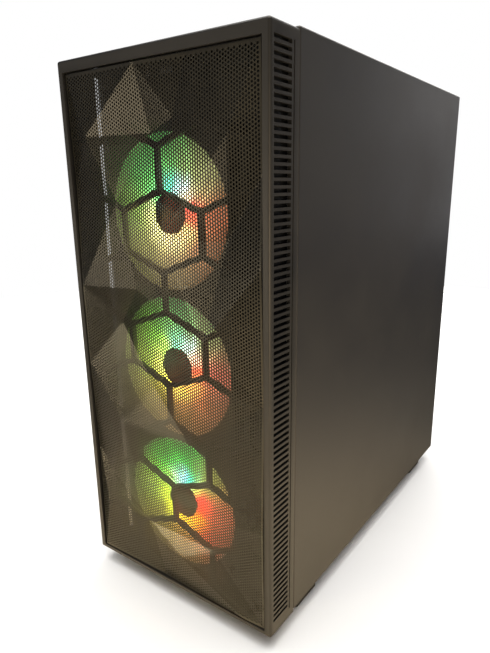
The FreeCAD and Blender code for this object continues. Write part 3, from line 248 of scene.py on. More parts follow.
def board_finish():
    """Black solder mask with copper runs that lift the surface and pads that glint."""
    k = Nodes("board_mask")
    br = k.new("TexBrick")
    mp = k.new("Mapping")
    mp.inputs["Rotation"].default_value = (0.0, math.radians(90), 0.0)
    k.link(k.co, mp.inputs["Vector"])
    k.link(mp.outputs[0], br.inputs["Vector"])
    br.inputs["Scale"].default_value = 120.0
    br.inputs["Mortar Size"].default_value = 0.035
    br.inputs["Color1"].default_value = (0.012, 0.016, 0.017, 1)
    br.inputs["Color2"].default_value = (0.02, 0.025, 0.026, 1)
    br.inputs["Mortar"].default_value = (0.034, 0.042, 0.043, 1)
    v = k.cells(420.0)
    pads = k.range(v, 0.06, 0.09, 1.0, 0.0)
    tone = k.noise(60.0, 4.0)
    pads = k.math("MULTIPLY", pads, k.range(tone, 0.55, 0.6, 0.0, 1.0))
    k.put(k.b, "Base Color", k.mix(pads, br.outputs["Color"], (0.5, 0.42, 0.25)))
    k.put(k.b, "Metallic", k.math("MULTIPLY", pads, 0.9))
    k.put(k.b, "Roughness", k.range(tone, 0.3, 0.7, 0.26, 0.42))
    k.put(k.b, "Normal", k.bump(br.outputs["Fac"], 0.25, 0.0001))
    return k.m


MAT["board_mask"] = board_finish()


def sheet_finish(gain=3.6):
    """Satin paint on the faceted sheet. The shading normal tilts each facet further than its geometry does, which sets
    the facets apart; the hole walls keep their true normal.
    """
    k = Nodes("sheet_paint")
    big = k.noise(22.0, 4.0, 0.6)
    fine = k.noise(1700.0, 2.0, 0.6)
    both = k.math("ADD", k.math("MULTIPLY", big, 0.7), k.math("MULTIPLY", fine, 0.3))
    k.put(k.b, "Base Color", k.ramp(both, [(0.3, (0.017, 0.016, 0.0125)), (0.7, (0.031, 0.0285, 0.021))]))
    k.put(k.b, "Roughness", k.range(both, 0.3, 0.7, 0.24, 0.36))
    k.b.inputs["Specular IOR Level"].default_value = 0.7
    k.b.inputs["Specular Tint"].default_value = (1.0, 0.9, 0.72, 1.0)
    g = k.new("NewGeometry")
    s = k.new("SeparateXYZ")
    k.link(g.outputs["True Normal"], s.inputs[0])
    c = k.new("CombineXYZ")
    k.link(k.math("MULTIPLY", s.outputs[0], gain), c.inputs[0])
    k.link(s.outputs[1], c.inputs[1])
    k.link(k.math("MULTIPLY", s.outputs[2], gain), c.inputs[2])
    nn = k.new("VectorMath", operation="NORMALIZE")
    k.link(c.outputs[0], nn.inputs[0])
    flat = k.math("GREATER_THAN", k.math("ABSOLUTE", s.outputs[1]), 0.9)
    mv = k.new("Mix", data_type="VECTOR")
    k.link(flat, mv.inputs[0])
    k.link(g.outputs["True Normal"], mv.inputs[4])
    k.link(nn.outputs[0], mv.inputs[5])
    k.put(k.b, "Normal", k.bump(fine, 0.15, 0.00012, mv.outputs[1]))
    return k.m


MAT["sheet_paint"] = sheet_finish()


def glass_finish():
    """Smoke tinted tempered glass with faint dust in its gloss."""
    k = Nodes("smoke_glass")
    dust = k.noise(35.0, 6.0, 0.7)
    k.put(k.b, "Base Color", k.ramp(dust, [(0.3, (0.58, 0.59, 0.60)), (0.7, (0.62, 0.63, 0.64))]))
    k.put(k.b, "Roughness", k.range(dust, 0.45, 0.8, 0.0, 0.06))
    k.b.inputs["Transmission Weight"].default_value = 1.0
    k.b.inputs["IOR"].default_value = 1.5
    return k.m


MAT["smoke_glass"] = glass_finish()


def woven_finish():
    k = Nodes("filter_nylon")
    w = k.new("TexWave", wave_type="BANDS", bands_direction="X")
    k.link(k.co, w.inputs["Vector"])
    w.inputs["Scale"].default_value = 260.0
    n = k.noise(70.0, 4.0)
    k.put(k.b, "Base Color", k.ramp(n, [(0.3, (0.016, 0.016, 0.016)), (0.7, (0.034, 0.033, 0.031))]))
    k.put(k.b, "Roughness", k.range(n, 0.3, 0.7, 0.5, 0.66))
    k.b.inputs["Sheen Weight"].default_value = 0.25
    k.put(k.b, "Normal", k.bump(w.outputs["Fac"], 0.4, 0.0001))
    return k.m


MAT["filter_nylon"] = woven_finish()


# ------------------------------------------------------------------ mesh helpers
def mesh_object(name, verts, quads=(), tris=(), smooth=False):
    """An object from arrays: vertices in metres, quads and triangles."""
    me = bpy.data.meshes.new(name)
    verts = np.asarray(verts, np.float32)
    quads = np.asarray(quads, np.int32).reshape(-1, 4)
    tris = np.asarray(tris, np.int32).reshape(-1, 3)
    me.vertices.add(len(verts))
    me.vertices.foreach_set("co", verts.ravel())
    loops = np.concatenate([quads.ravel(), tris.ravel()])
    me.loops.add(len(loops))
    me.loops.foreach_set("vertex_index", loops)
    n = len(quads) + len(tris)
    starts = np.concatenate([np.arange(len(quads)) * 4, len(quads) * 4 + np.arange(len(tris)) * 3]).astype(np.int32)
    me.polygons.add(n)
    me.polygons.foreach_set("loop_start", starts)
    if smooth:
        me.polygons.foreach_set("use_smooth", np.ones(n, bool))
    me.update(calc_edges=True)
    me.validate()
    o = bpy.data.objects.new(name, me)
    scene.collection.objects.link(o)
    return o


def from_bmesh(name, bm, smooth=False, angle=None):
    me = bpy.data.meshes.new(name)
    bm.normal_update()
    bm.to_mesh(me)
    bm.free()
    if smooth:
        me.polygons.foreach_set("use_smooth", np.ones(len(me.polygons), bool))
    o = bpy.data.objects.new(name, me)
    scene.collection.objects.link(o)
    if smooth and angle is not None:
        me.set_sharp_from_angle(angle=math.radians(angle))
    return o


def bm_block(bm, lo, hi, chamfer=0.0, seg=2):
    """A block with rounded edges, added to bm, in mm."""
    r = bmesh.ops.create_cube(bm, size=1.0)
    lo, hi = Vector(lo) * MM, Vector(hi) * MM
    for v in r["verts"]:
        v.co = Vector(((v.co.x + 0.5) * (hi.x - lo.x) + lo.x, (v.co.y + 0.5) * (hi.y - lo.y) + lo.y,
                       (v.co.z + 0.5) * (hi.z - lo.z) + lo.z))
    if chamfer:
        es = list({e for v in r["verts"] for e in v.link_edges})
        bmesh.ops.bevel(bm, geom=es, offset=chamfer * MM, segments=seg, profile=0.5, affect="EDGES", clamp_overlap=True)


def bm_turned(bm, centre, axis, profile, n=32):
    """A solid of revolution from (radius, along) pairs in mm, added to bm. The first and last radius are 0 or are capped."""
    axis = Vector(axis).normalized()
    side = axis.orthogonal().normalized()
    other = axis.cross(side)
    c = Vector(centre) * MM
    rings = []
    for r, h in profile:
        if r <= 1e-6:
            rings.append([bm.verts.new(c + axis * h * MM)])
        else:
            rings.append([bm.verts.new(c + axis * h * MM + (side * math.cos(2 * math.pi * i / n)
                                                             + other * math.sin(2 * math.pi * i / n)) * r * MM) for i in range(n)])
    for a, b in zip(rings, rings[1:]):
        for i in range(n):
            j = (i + 1) % n
            if len(a) == 1 and len(b) == 1:
                continue
            if len(a) == 1:
                bm.faces.new((a[0], b[i], b[j]))
            elif len(b) == 1:
                bm.faces.new((a[i], b[0], a[j]))
            else:
                bm.faces.new((a[i], b[i], b[j], a[j]))
    if len(rings[0]) > 1:
        bm.faces.new(rings[0])
    if len(rings[-1]) > 1:
        bm.faces.new(list(reversed(rings[-1])))


def dress(o, mat, body=None, replaces=()):
    o.data.materials.clear()
    o.data.materials.append(MAT[mat] if isinstance(mat, str) else mat)
    if body:
        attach(o, body)
    if replaces:
        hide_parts(*replaces)
    return o


def cad(node, mat, bevel=0.0, seg=2, angle=32.0, smooth=None):
    """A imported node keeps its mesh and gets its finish, with small rounded edges where asked."""
    o = NODES[node]
    o.data.materials.clear()
    o.data.materials.append(MAT[mat])
    o.data.polygons.foreach_set("material_index", np.zeros(len(o.data.polygons), np.int32))
    if bevel:
        w = o.modifiers.new("weld", "WELD")
        w.merge_threshold = 2e-6
        b = o.modifiers.new("edges", "BEVEL")
        b.width = bevel * MM
        b.segments = seg
        b.limit_method = "ANGLE"
        b.angle_limit = math.radians(angle)
        b.harden_normals = False
        b.use_clamp_overlap = True
    return o


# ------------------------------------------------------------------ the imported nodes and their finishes
cad("bezel_frame", "shell_plastic")
for n in ("vent_strip_right", "vent_strip_left"):
    cad(n, "strip_plastic")
cad("honeycomb_grille", "comb_plastic")
cad("front_port_board", "board_mask")
cad("front_sockets", "nickel")
cad("power_button", "shell_plastic")
cad("light_button", "shell_plastic")
cad("side_panel_right", "powder_black")
for n in ("chassis_front", "chassis_floor", "chassis_roof", "chassis_rear", "board_tray", "supply_shroud", "drive_cage", "supply_case"):
    cad(n, "steel_inside")
cad("glass_frame", "steel_inside")
cad("glass_panel", "smoke_glass")
for n in ("front_fan_frame_1", "front_fan_frame_2", "front_fan_frame_3", "rear_fan_frame", "cooler_fan_frame", "supply_fan_seat",
          "rear_fan_rotor", "cooler_fan_rotor", "supply_fan_rotor", "graphics_rotor_1", "graphics_rotor_2"):
    cad(n, "fan_black")
cad("hard_drive", "drive_cast")
cad("main_board", "board_mask")
cad("graphics_board", "board_mask")
cad("board_standoffs", "brass")
cad("board_sockets", "socket_black")
cad("supply_inlet", "socket_black")
cad("supply_switch", "socket_black")
cad("graphics_shroud", "fan_black")
cad("memory_modules", "jacket_black")
cad("floor_filter", "filter_nylon")
cad("filter_rails", "socket_black")
cad("top_filter_frame", "shell_plastic")
cad("top_filter_mesh", "filter_nylon")
cad("board_heatsinks", "black_alloy")
cad("cooler_fins", "fin_alloy")
cad("graphics_heatsink", "fin_alloy")
cad("slot_brackets", "nickel")
cad("io_shield", "nickel")
cad("cooler_base", "copper")
cad("graphics_backplate", "black_alloy")
for n in ("thumb_screws_right", "thumb_screws_left", "fan_screws", "fan_guards"):
    cad(n, "black_zinc")
cad("rear_ports", "nickel")
cad("feet", "rubber")

# ------------------------------------------------------------------ the perforated front sheet
FRONT_Y, U0, V0 = -195.75, -98.27, 15.0
FACET = {
    "T0": (5.3, 424.5, 1.6), "A": (82, 424.5, .4), "T2": (130, 424.5, 1.9), "T3": (191.2, 424.5, 1.4),
    "R1": (191.2, 348, 2.9), "R2": (191.2, 288, .5), "R3": (191.2, 190, 2.9), "R4": (191.2, 88, .7),
    "R5": (191.2, 3.4, 1.8), "B1": (172, 3.4, .5), "B2": (85, 3.4, 2.4), "B0": (5.3, 3.4, .9),
    "L1": (5.3, 110, 2.9), "L2": (5.3, 190, .8), "L3": (5.3, 259, .4), "L4": (5.3, 340, 2.9),
    "C": (24, 378, .6), "Bv": (94, 377, 2.9), "D": (117, 385.7, 1.7), "G": (50, 233, 2.9), "H": (43, 143, .5),
    "I": (22.5, 87, 2.4), "J": (16, 52, .5), "K": (68, 53, 2.3), "M": (106.7, 31.7, .4), "L": (141.7, 52, 2.4),
    "N": (162, 86, .5), "P": (162.3, 303.3, 2.4), "V1": (100, 302, .4), "V2": (72, 262, .6),
    "V3": (138, 228, .5), "V4": (84, 182, 2.4), "V5": (122, 140, .6), "W": (55, 330, 1.2), "X": (165, 372, .6)}
TRIS = [('R2', 'V3', 'R3'), ('B2', 'K', 'B0'), ('V3', 'P', 'V1'), ('P', 'V3', 'R2'), ('R1', 'P', 'R2'),
        ('V5', 'V3', 'V4'), ('V3', 'V5', 'R3'), ('V5', 'R4', 'R3'), ('R4', 'V5', 'N'), ('B2', 'M', 'K'),
        ('L4', 'C', 'T0'), ('C', 'A', 'T0'), ('A', 'C', 'Bv'), ('J', 'L1', 'B0'), ('K', 'J', 'B0'),
        ('V5', 'H', 'K'), ('H', 'V5', 'V4'), ('L1', 'H', 'L2'), ('L2', 'H', 'V4'), ('B1', 'M', 'B2'),
        ('M', 'L', 'K'), ('L', 'V5', 'K'), ('V5', 'L', 'N'), ('B1', 'L', 'M'), ('L', 'R4', 'N'),
        ('R4', 'L', 'R5'), ('L', 'B1', 'R5'), ('L3', 'W', 'L4'), ('Bv', 'W', 'V1'), ('C', 'W', 'Bv'),
        ('W', 'C', 'L4'), ('G', 'L3', 'L2'), ('G', 'L2', 'V4'), ('I', 'J', 'K'), ('J', 'I', 'L1'),
        ('H', 'I', 'K'), ('I', 'H', 'L1'), ('X', 'R1', 'T3'), ('T2', 'X', 'T3'), ('X', 'P', 'R1'),
        ('P', 'X', 'V1'), ('V2', 'W', 'L3'), ('G', 'V2', 'L3'), ('W', 'V2', 'V1'), ('V2', 'V3', 'V1'),
        ('V3', 'V2', 'V4'), ('V2', 'G', 'V4'), ('D', 'X', 'T2'), ('D', 'T2', 'A'), ('D', 'A', 'Bv'),
        ('D', 'Bv', 'V1'), ('X', 'D', 'V1')]


def facet_depth(x, z):
    """Depth behind the front plane, in mm, at arrays x and z of the sheet."""
    u, v = x - U0, z - V0
    d = np.full(u.shape, np.nan)
    for t in TRIS:
        (ax, ay, ad), (bx, by, bd), (cx, cy, cd) = (FACET[k] for k in t)
        det = (by - cy) * (ax - cx) + (cx - bx) * (ay - cy)
        if abs(det) < 1e-9:
            continue
        l1 = ((by - cy) * (u - cx) + (cx - bx) * (v - cy)) / det
        l2 = ((cy - ay) * (u - cx) + (ax - cx) * (v - cy)) / det
        l3 = 1 - l1 - l2
        inside = (l1 > -1e-6) & (l2 > -1e-6) & (l3 > -1e-6) & np.isnan(d)
        d[inside] = (l1 * ad + l2 * bd + l3 * cd)[inside]
    bad = np.isnan(d)
    if bad.any():
        good = ~bad
        for i in np.where(bad)[0]:
            j = np.argmin((u[good] - u[i]) ** 2 + (v[good] - v[i]) ** 2)
            d[i] = d[good][j]
    return d


def front_sheet(pitch=2.55, hole=0.97, thick=0.65, bands=3):
    """Hexagonal cells on a triangular lattice, each with a six-sided hole. The outer cells are solid and cut to the sheet's straight edge."""
    lo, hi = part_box("front_mesh")
    x0, x1, z0, z1 = lo.x / MM, hi.x / MM, lo.z / MM, hi.z / MM
    dx = pitch * math.sqrt(3) / 2
    R = pitch / math.sqrt(3)
    nx, nz = int((x1 - x0) / dx) + 4, int((z1 - z0) / pitch) + 4
    cx0, cz0 = (x0 + x1) / 2 - dx * (nx // 2), (z0 + z1) / 2 - pitch * (nz // 2)
    ci, cj = np.meshgrid(np.arange(nx + 1), np.arange(nz + 1), indexing="ij")
    cx = (cx0 + ci * dx).ravel()
    cz = (cz0 + cj * pitch + (ci % 2) * pitch / 2).ravel()
    ang = np.radians([0, 60, 120, 180, 240, 300])
    ox, oz = cx[:, None] + R * np.cos(ang), cz[:, None] + R * np.sin(ang)
    edge = np.minimum.reduce([cx - x0, x1 - cx, cz - z0, z1 - cz])
    touch = (ox.max(1) > x0 + 0.05) & (ox.min(1) < x1 - 0.05) & (oz.max(1) > z0 + 0.05) & (oz.min(1) < z1 - 0.05)
    open_ = edge > hole + 1.2
    ox, oz = np.clip(ox, x0, x1), np.clip(oz, z0, z1)
    hx, hz = cx[:, None] + hole * np.cos(ang), cz[:, None] + hole * np.sin(ang)
    cuts = np.linspace(z0 - 5, z1 + 5, bands + 1)
    made = []
    for b in range(bands):
        sel = touch & (cz >= cuts[b]) & (cz < cuts[b + 1])
        O = np.stack([ox[sel], oz[sel]], -1)
        H = np.stack([hx[sel], hz[sel]], -1)
        op = open_[sel]
        n = len(O)
        keys = np.round(O.reshape(-1, 2) * 200).astype(np.int64)
        uniq, first, inv = np.unique(keys[:, 0] * 1000003 + keys[:, 1], return_index=True, return_inverse=True)
        P = O.reshape(-1, 2)[first]
        oi = inv.reshape(n, 6)
        no = len(P)
        Hh = H[op]
        nh = len(Hh)
        hi_ = np.full((n, 6), -1)
        hi_[op] = no + np.arange(nh * 6).reshape(nh, 6)
        flat = np.concatenate([P, Hh.reshape(-1, 2)])
        d = facet_depth(flat[:, 0], flat[:, 1])
        y = FRONT_Y + d
        nv = len(flat)
        front = np.stack([flat[:, 0], y, flat[:, 1]], -1) * MM
        back = front.copy()
        back[:, 1] += thick * MM
        verts = np.concatenate([front, back])
        a, bb = oi[op], np.roll(oi[op], -1, 1)
        ha, hb = hi_[op], np.roll(hi_[op], -1, 1)
        q = [np.stack([a, bb, hb, ha], -1).reshape(-1, 4),
             np.stack([a, ha, hb, bb], -1).reshape(-1, 4) + nv,
             np.stack([ha, hb, hb + nv, ha + nv], -1).reshape(-1, 4)]
        s = oi[~op]
        tri = []
        for k in range(1, 5):
            t = np.stack([s[:, 0], s[:, k], s[:, k + 1]], -1)
            tri += [t, t[:, ::-1] + nv]
        tri = np.concatenate(tri) if tri else np.zeros((0, 3), int)
        co = verts[tri]
        area = np.linalg.norm(np.cross(co[:, 1] - co[:, 0], co[:, 2] - co[:, 0]), axis=1)
        tri = tri[area > 1e-11]
        # walls along the outline of the band
        e = np.concatenate([np.stack([oi, np.roll(oi, -1, 1)], -1).reshape(-1, 2)])
        e = e[e[:, 0] != e[:, 1]]
        und = np.sort(e, 1)
        code = und[:, 0] * (nv + 1) + und[:, 1]
        _, idx, cnt = np.unique(code, return_index=True, return_counts=True)
        rim = e[idx[cnt == 1]]
        q.append(np.stack([rim[:, 0], rim[:, 0] + nv, rim[:, 1] + nv, rim[:, 1]], -1))
        o = mesh_object("front_sheet_%d" % (b + 1), verts, np.concatenate(q), tri)
        made.append(o)
    return made


sheets = front_sheet()
for i, o in enumerate(sheets):
    dress(o, "sheet_paint", "bezel", ("front_mesh",))


# ------------------------------------------------------------------ the three lit rotors
def lin(*c):
    return tuple(((x / 255 + 0.055) / 1.055) ** 2.4 if x > 10 else x / 255 / 12.92 for x in c)


def lit_finish(name, near, far, strength):
    """Frosted blades lit from coloured lamps round the hub: colour goes round the axis, brightness falls outwards."""
    k = Nodes(name)
    s = k.new("SeparateXYZ")
    k.link(k.co, s.inputs[0])
    c = k.new("CombineXYZ")
    k.link(s.outputs[0], c.inputs[0])
    k.link(s.outputs[2], c.inputs[1])
    g = k.new("TexGradient", gradient_type="RADIAL")
    k.link(c.outputs[0], g.inputs[0])
    ln = k.new("VectorMath", operation="LENGTH")
    k.link(c.outputs[0], ln.inputs[0])
    r = k.range(ln.outputs["Value"], 0.0, 0.060, 0.0, 1.0)
    out = k.range(ln.outputs["Value"], 0.024, 0.035, 0.0, 1.0)
    colour = k.mix(out, k.ramp(g.outputs["Fac"], near, "EASE"), k.ramp(g.outputs["Fac"], far, "EASE"))
    fall = k.ramp(r, [(0.0, (1, 1, 1)), (0.37, (1, 1, 1)), (0.46, (0.62, 0.62, 0.62)), (0.56, (0.36, 0.36, 0.36)),
                      (0.72, (0.20, 0.20, 0.20)), (0.90, (0.10, 0.10, 0.10)), (0.97, (0.09, 0.09, 0.09))])
    cloud = k.noise(55.0, 4.0, 0.6)
    level = k.math("MULTIPLY", k.math("MULTIPLY", fall, k.range(cloud, 0.35, 0.65, 0.75, 1.2)), strength)
    k.put(k.b, "Base Color", k.ramp(cloud, [(0.3, (0.20, 0.21, 0.20)), (0.7, (0.30, 0.31, 0.30))]))
    k.put(k.b, "Emission Color", colour)
    k.put(k.b, "Emission Strength", level)
    k.put(k.b, "Roughness", k.range(cloud, 0.3, 0.7, 0.3, 0.45))
    fine = k.noise(2400.0, 2.0)
    k.put(k.b, "Normal", k.bump(fine, 0.15, 0.0001))
    return k.m


# stops go from 180 degrees (left) through below, right and above, back to the left
NEAR = {
    1: [(0.0, lin(220, 245, 60)), (0.125, lin(235, 235, 50)), (0.25, lin(245, 200, 40)), (0.375, lin(250, 150, 20)),
        (0.47, lin(255, 60, 30)), (0.55, lin(250, 50, 40)), (0.625, lin(190, 200, 90)), (0.69, lin(60, 240, 190)),
        (0.75, lin(150, 225, 235)), (0.82, lin(190, 250, 190)), (0.9, lin(170, 250, 90)), (1.0, lin(220, 245, 60))],
    2: [(0.0, lin(240, 250, 110)), (0.125, lin(235, 225, 90)), (0.25, lin(245, 205, 90)), (0.375, lin(240, 170, 80)),
        (0.5, lin(250, 90, 55)), (0.58, lin(240, 190, 150)), (0.66, lin(200, 245, 215)), (0.75, lin(130, 240, 180)),
        (0.875, lin(190, 250, 100)), (1.0, lin(240, 250, 110))],
    3: [(0.0, lin(235, 245, 150)), (0.125, lin(250, 245, 155)), (0.25, lin(250, 230, 150)), (0.375, lin(255, 215, 130)),
        (0.47, lin(240, 90, 60)), (0.54, lin(235, 60, 50)), (0.6, lin(240, 215, 165)), (0.69, lin(180, 245, 235)),
        (0.75, lin(90, 240, 190)), (0.875, lin(120, 240, 130)), (1.0, lin(235, 245, 150))]}
FAR = {
    1: [(0.0, lin(195, 235, 70)), (0.125, lin(190, 180, 60)), (0.25, lin(205, 150, 60)), (0.375, lin(225, 90, 40)),
        (0.5, lin(245, 110, 60)), (0.625, lin(200, 215, 90)), (0.73, lin(60, 240, 90)), (0.86, lin(90, 245, 70)),
        (1.0, lin(195, 235, 70))],
    2: [(0.0, lin(205, 235, 95)), (0.125, lin(200, 185, 70)), (0.25, lin(225, 165, 90)), (0.375, lin(225, 130, 70)),
        (0.5, lin(240, 120, 95)), (0.625, lin(185, 205, 130)), (0.75, lin(140, 220, 130)), (0.875, lin(150, 235, 80)),
        (1.0, lin(205, 235, 95))],
    3: [(0.0, lin(185, 230, 110)), (0.125, lin(215, 215, 120)), (0.25, lin(225, 195, 130)), (0.375, lin(220, 150, 100)),
        (0.5, lin(240, 130, 85)), (0.625, lin(225, 235, 150)), (0.75, lin(130, 235, 120)), (0.875, lin(130, 245, 120)),
        (1.0, lin(185, 230, 110))]}


def blade_set(bm, count, r0, r1, span_deg, sweep_deg, y_front, y_back, thick, nr=10, na=10, camber=2.0):
    """Wide overlapping blades round the Y axis, each a closed curved plate. Distances are in mm, centred on the hub."""
    for k in range(count):
        base = 2 * math.pi * k / count
        grid = [[None] * (na + 1) for _ in range(nr + 1)]
        for i in range(nr + 1):
            fr = i / nr
            r = r0 + (r1 - r0) * fr
            sweep = math.radians(sweep_deg) * (fr ** 1.5)
            sp = math.radians(span_deg) * (1.0 - 0.10 * fr)
            for j in range(na + 1):
                t = j / na
                tip = 1.0 - 0.035 * (2 * t - 1) ** 4 * fr
                a = base + sweep + (t - 0.5) * sp
                y = y_front + (y_back - y_front) * (t * (1.0 - 0.12 * fr) + 0.06 * fr) - camber * math.sin(math.pi * t)
                grid[i][j] = Vector((r * tip * math.cos(a), y, r * tip * math.sin(a)))
        top, bot = [], []
        for i in range(nr + 1):
            ra, rb = [], []
            for j in range(na + 1):
                du = grid[min(i + 1, nr)][j] - grid[max(i - 1, 0)][j]
                dv = grid[i][min(j + 1, na)] - grid[i][max(j - 1, 0)]
                n = du.cross(dv).normalized()
                e = min(1.0, 4.0 * min(j / na, 1 - j / na) + 0.35)
                off = n * thick * 0.5 * e
                ra.append(bm.verts.new((grid[i][j] + off) * MM))
                rb.append(bm.verts.new((grid[i][j] - off) * MM))
            top.append(ra)
            bot.append(rb)
        for i in range(nr):
            for j in range(na):
                bm.faces.new((top[i][j], top[i + 1][j], top[i + 1][j + 1], top[i][j + 1]))
                bm.faces.new((bot[i][j], bot[i][j + 1], bot[i + 1][j + 1], bot[i + 1][j]))
            bm.faces.new((top[i][0], bot[i][0], bot[i + 1][0], top[i + 1][0]))
            bm.faces.new((top[i][na], top[i + 1][na], bot[i + 1][na], bot[i][na]))
        for j in range(na):
            bm.faces.new((top[0][j], top[0][j + 1], bot[0][j + 1], bot[0][j]))
            bm.faces.new((top[nr][j], bot[nr][j], bot[nr][j + 1], top[nr][j + 1]))


for i in (1, 2, 3):
    lo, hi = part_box("front_fan_rotor_%d" % i)
    centre = Vector(((lo.x + hi.x) / 2, (lo.y + hi.y) / 2, (lo.z + hi.z) / 2))
    centre = Vector((0.0, centre.y, (0.093, 0.2145, 0.336)[i - 1]))
    half = (hi.y - lo.y) / 2 / MM
    bm = bmesh.new()
    blade_set(bm, 9, 19.2, 56.4, 57.0, 26.0, -half + 2.4, -half + 9.6, 1.3, camber=1.6)
    # the hub: a frosted cup that glows round its dark cap
    bm_turned(bm, (0, 0, 0), (0, -1, 0), [(15.4, half - 1.6), (17.6, half - 1.7), (19.2, half - 2.6), (19.9, half - 4.2), (20.0, -half + 3.0),
                                         (19.4, -half + 2.0), (18.2, -half + 2.0), (18.2, half - 4.5), (15.4, half - 4.2)], 64)
    o = from_bmesh("lit_rotor_%d" % i, bm, True, 40)
    o.location = centre
    m = lit_finish("lit_blades_%d" % i, NEAR[i], FAR[i], (6.4, 5.0, 4.4)[i - 1])
    dress(o, m, "front_fan_rotor_%d" % i, ("front_fan_rotor_%d" % i,))
    bm = bmesh.new()
    bm_turned(bm, (0, 0, 0), (0, -1, 0), [(0, half - 0.1), (12.6, half - 0.15), (14.6, half - 0.5), (15.5, half - 1.3), (15.5, half - 4.4), (3.0, half - 4.4),
                                         (3.0, -half + 2.4), (0, -half + 2.4)], 64)
    o = from_bmesh("rotor_cap_%d" % i, bm, True, 35)
    o.location = centre
    dress(o, "fan_black", "front_fan_rotor_%d" % i)
    # frosted lip round the duct; its glow is painted light, an emission that stands in for the light the blades throw
    # on it
    bm = bmesh.new()
    ring_n, prof = 96, [(57.75, -9.6), (57.75, 4.0), (57.1, 4.3), (57.1, -9.2)]
    loops = []
    for r, h in prof:
        loops.append([bm.verts.new(Vector((r * math.cos(2 * math.pi * t / ring_n), h, r * math.sin(2 * math.pi * t / ring_n))) * MM) for t in range(ring_n)])
    for a, b in zip(loops, loops[1:] + loops[:1]):
        for t in range(ring_n):
            j = (t + 1) % ring_n
            bm.faces.new((a[t], a[j], b[j], b[t]))
    bmesh.ops.recalc_face_normals(bm, faces=bm.faces)
    o = from_bmesh("duct_lip_%d" % i, bm, True, 40)
    o.location = Vector((0.0, -0.17450, centre.z))
    dress(o, lit_finish("duct_lip_%d" % i, NEAR[i], FAR[i], 3.0), "chassis")

# ------------------------------------------------------------------ pleated liners behind the side slots
for side, sx in (("right", 1), ("left", -1)):
    verts, quads = [], []
    n = 280
    for q in range(n + 1):
        z = 19.0 + (443.0 - 19.0) * q / n
        x = (96.95 + (0.12 if q % 2 else -0.12)) * sx
        for y in (-191.6, -171.2):
            for off in (-0.2, 0.2):
                verts.append(((x + off) * MM, y * MM, z * MM))
    for q in range(n):
        a, b = 4 * q, 4 * q + 4
        for i0, i1 in ((0, 2), (2, 3), (3, 1), (1, 0)):
            quads.append((a + i0, a + i1, b + i1, b + i0))
    for a in (0, 4 * n):
        quads.append((a, a + 1, a + 3, a + 2))
    o = mesh_object("slot_liner_" + side, verts, quads)
    bm = bmesh.new()
    bm.from_mesh(o.data)
    bmesh.ops.recalc_face_normals(bm, faces=bm.faces)
    bm.to_mesh(o.data)
    bm.free()
    dress(o, "comb_plastic", "bezel")

# ------------------------------------------------------------------ woven dust filter on the roof
def woven_panel(name, x0, x1, y0, y1, z, pitch=2.1, strand=0.62, thick=0.5):
    nx, ny = int(round((x1 - x0) / pitch)), int(round((y1 - y0) / pitch))
    xs, ys = np.linspace(x0, x1, nx + 1), np.linspace(y0, y1, ny + 1)
    gx, gy = np.meshgrid(xs, ys, indexing="ij")
    ii, jj = np.meshgrid(np.arange(nx + 1), np.arange(ny + 1), indexing="ij")
    wave = 0.14 * np.where((ii + jj) % 2 == 0, 1.0, -1.0)
    corners = np.stack([gx.ravel(), gy.ravel(), (z + wave).ravel()], -1)
    hx, hy = (xs[1] - xs[0] - strand) / 2, (ys[1] - ys[0] - strand) / 2
    mx, my = (xs[:-1] + xs[1:]) / 2, (ys[:-1] + ys[1:]) / 2
    cx, cy = np.meshgrid(mx, my, indexing="ij")
    cx, cy = cx.ravel(), cy.ravel()
    sg = np.array([(-1, -1), (1, -1), (1, 1), (-1, 1)])
    inner = np.stack([cx[:, None] + sg[:, 0] * hx, cy[:, None] + sg[:, 1] * hy, np.full((len(cx), 4), z)], -1).reshape(-1, 3)
    flat = np.concatenate([corners, inner])
    nv = len(flat)
    top = flat.copy()
    top[:, 2] += thick / 2
    bot = flat.copy()
    bot[:, 2] -= thick / 2
    ci, cj = np.meshgrid(np.arange(nx), np.arange(ny), indexing="ij")
    idx = lambda a, b: (a * (ny + 1) + b).ravel()
    o4 = np.stack([idx(ci, cj), idx(ci + 1, cj), idx(ci + 1, cj + 1), idx(ci, cj + 1)], -1)
    n4 = len(corners) + np.arange(len(cx) * 4).reshape(-1, 4)
    ob, nb = np.roll(o4, -1, 1), np.roll(n4, -1, 1)
    q = [np.stack([o4, ob, nb, n4], -1).reshape(-1, 4), np.stack([o4, n4, nb, ob], -1).reshape(-1, 4) + nv,
         np.stack([n4, nb, nb + nv, n4 + nv], -1).reshape(-1, 4)]
    e = np.stack([o4, ob], -1).reshape(-1, 2)
    u = np.sort(e, 1)
    _, first, cnt = np.unique(u[:, 0] * (nv + 1) + u[:, 1], return_index=True, return_counts=True)
    rim = e[first[cnt == 1]]
    q.append(np.stack([rim[:, 0], rim[:, 0] + nv, rim[:, 1] + nv, rim[:, 1]], -1))
    return mesh_object(name, np.concatenate([top, bot]) * MM, np.concatenate(q))


lo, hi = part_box("top_filter_mesh")
zm = (lo.z + hi.z) / 2 / MM
ya, yb = lo.y / MM, hi.y / MM
half_len = 141.0
for i, (p, q) in enumerate(((ya, ya + half_len), (yb - half_len, yb))):
    o = woven_panel("top_filter_weave_%d" % (i + 1), lo.x / MM, hi.x / MM, p, q, zm)
    dress(o, "filter_nylon", "top_filter", ("top_filter_mesh",))


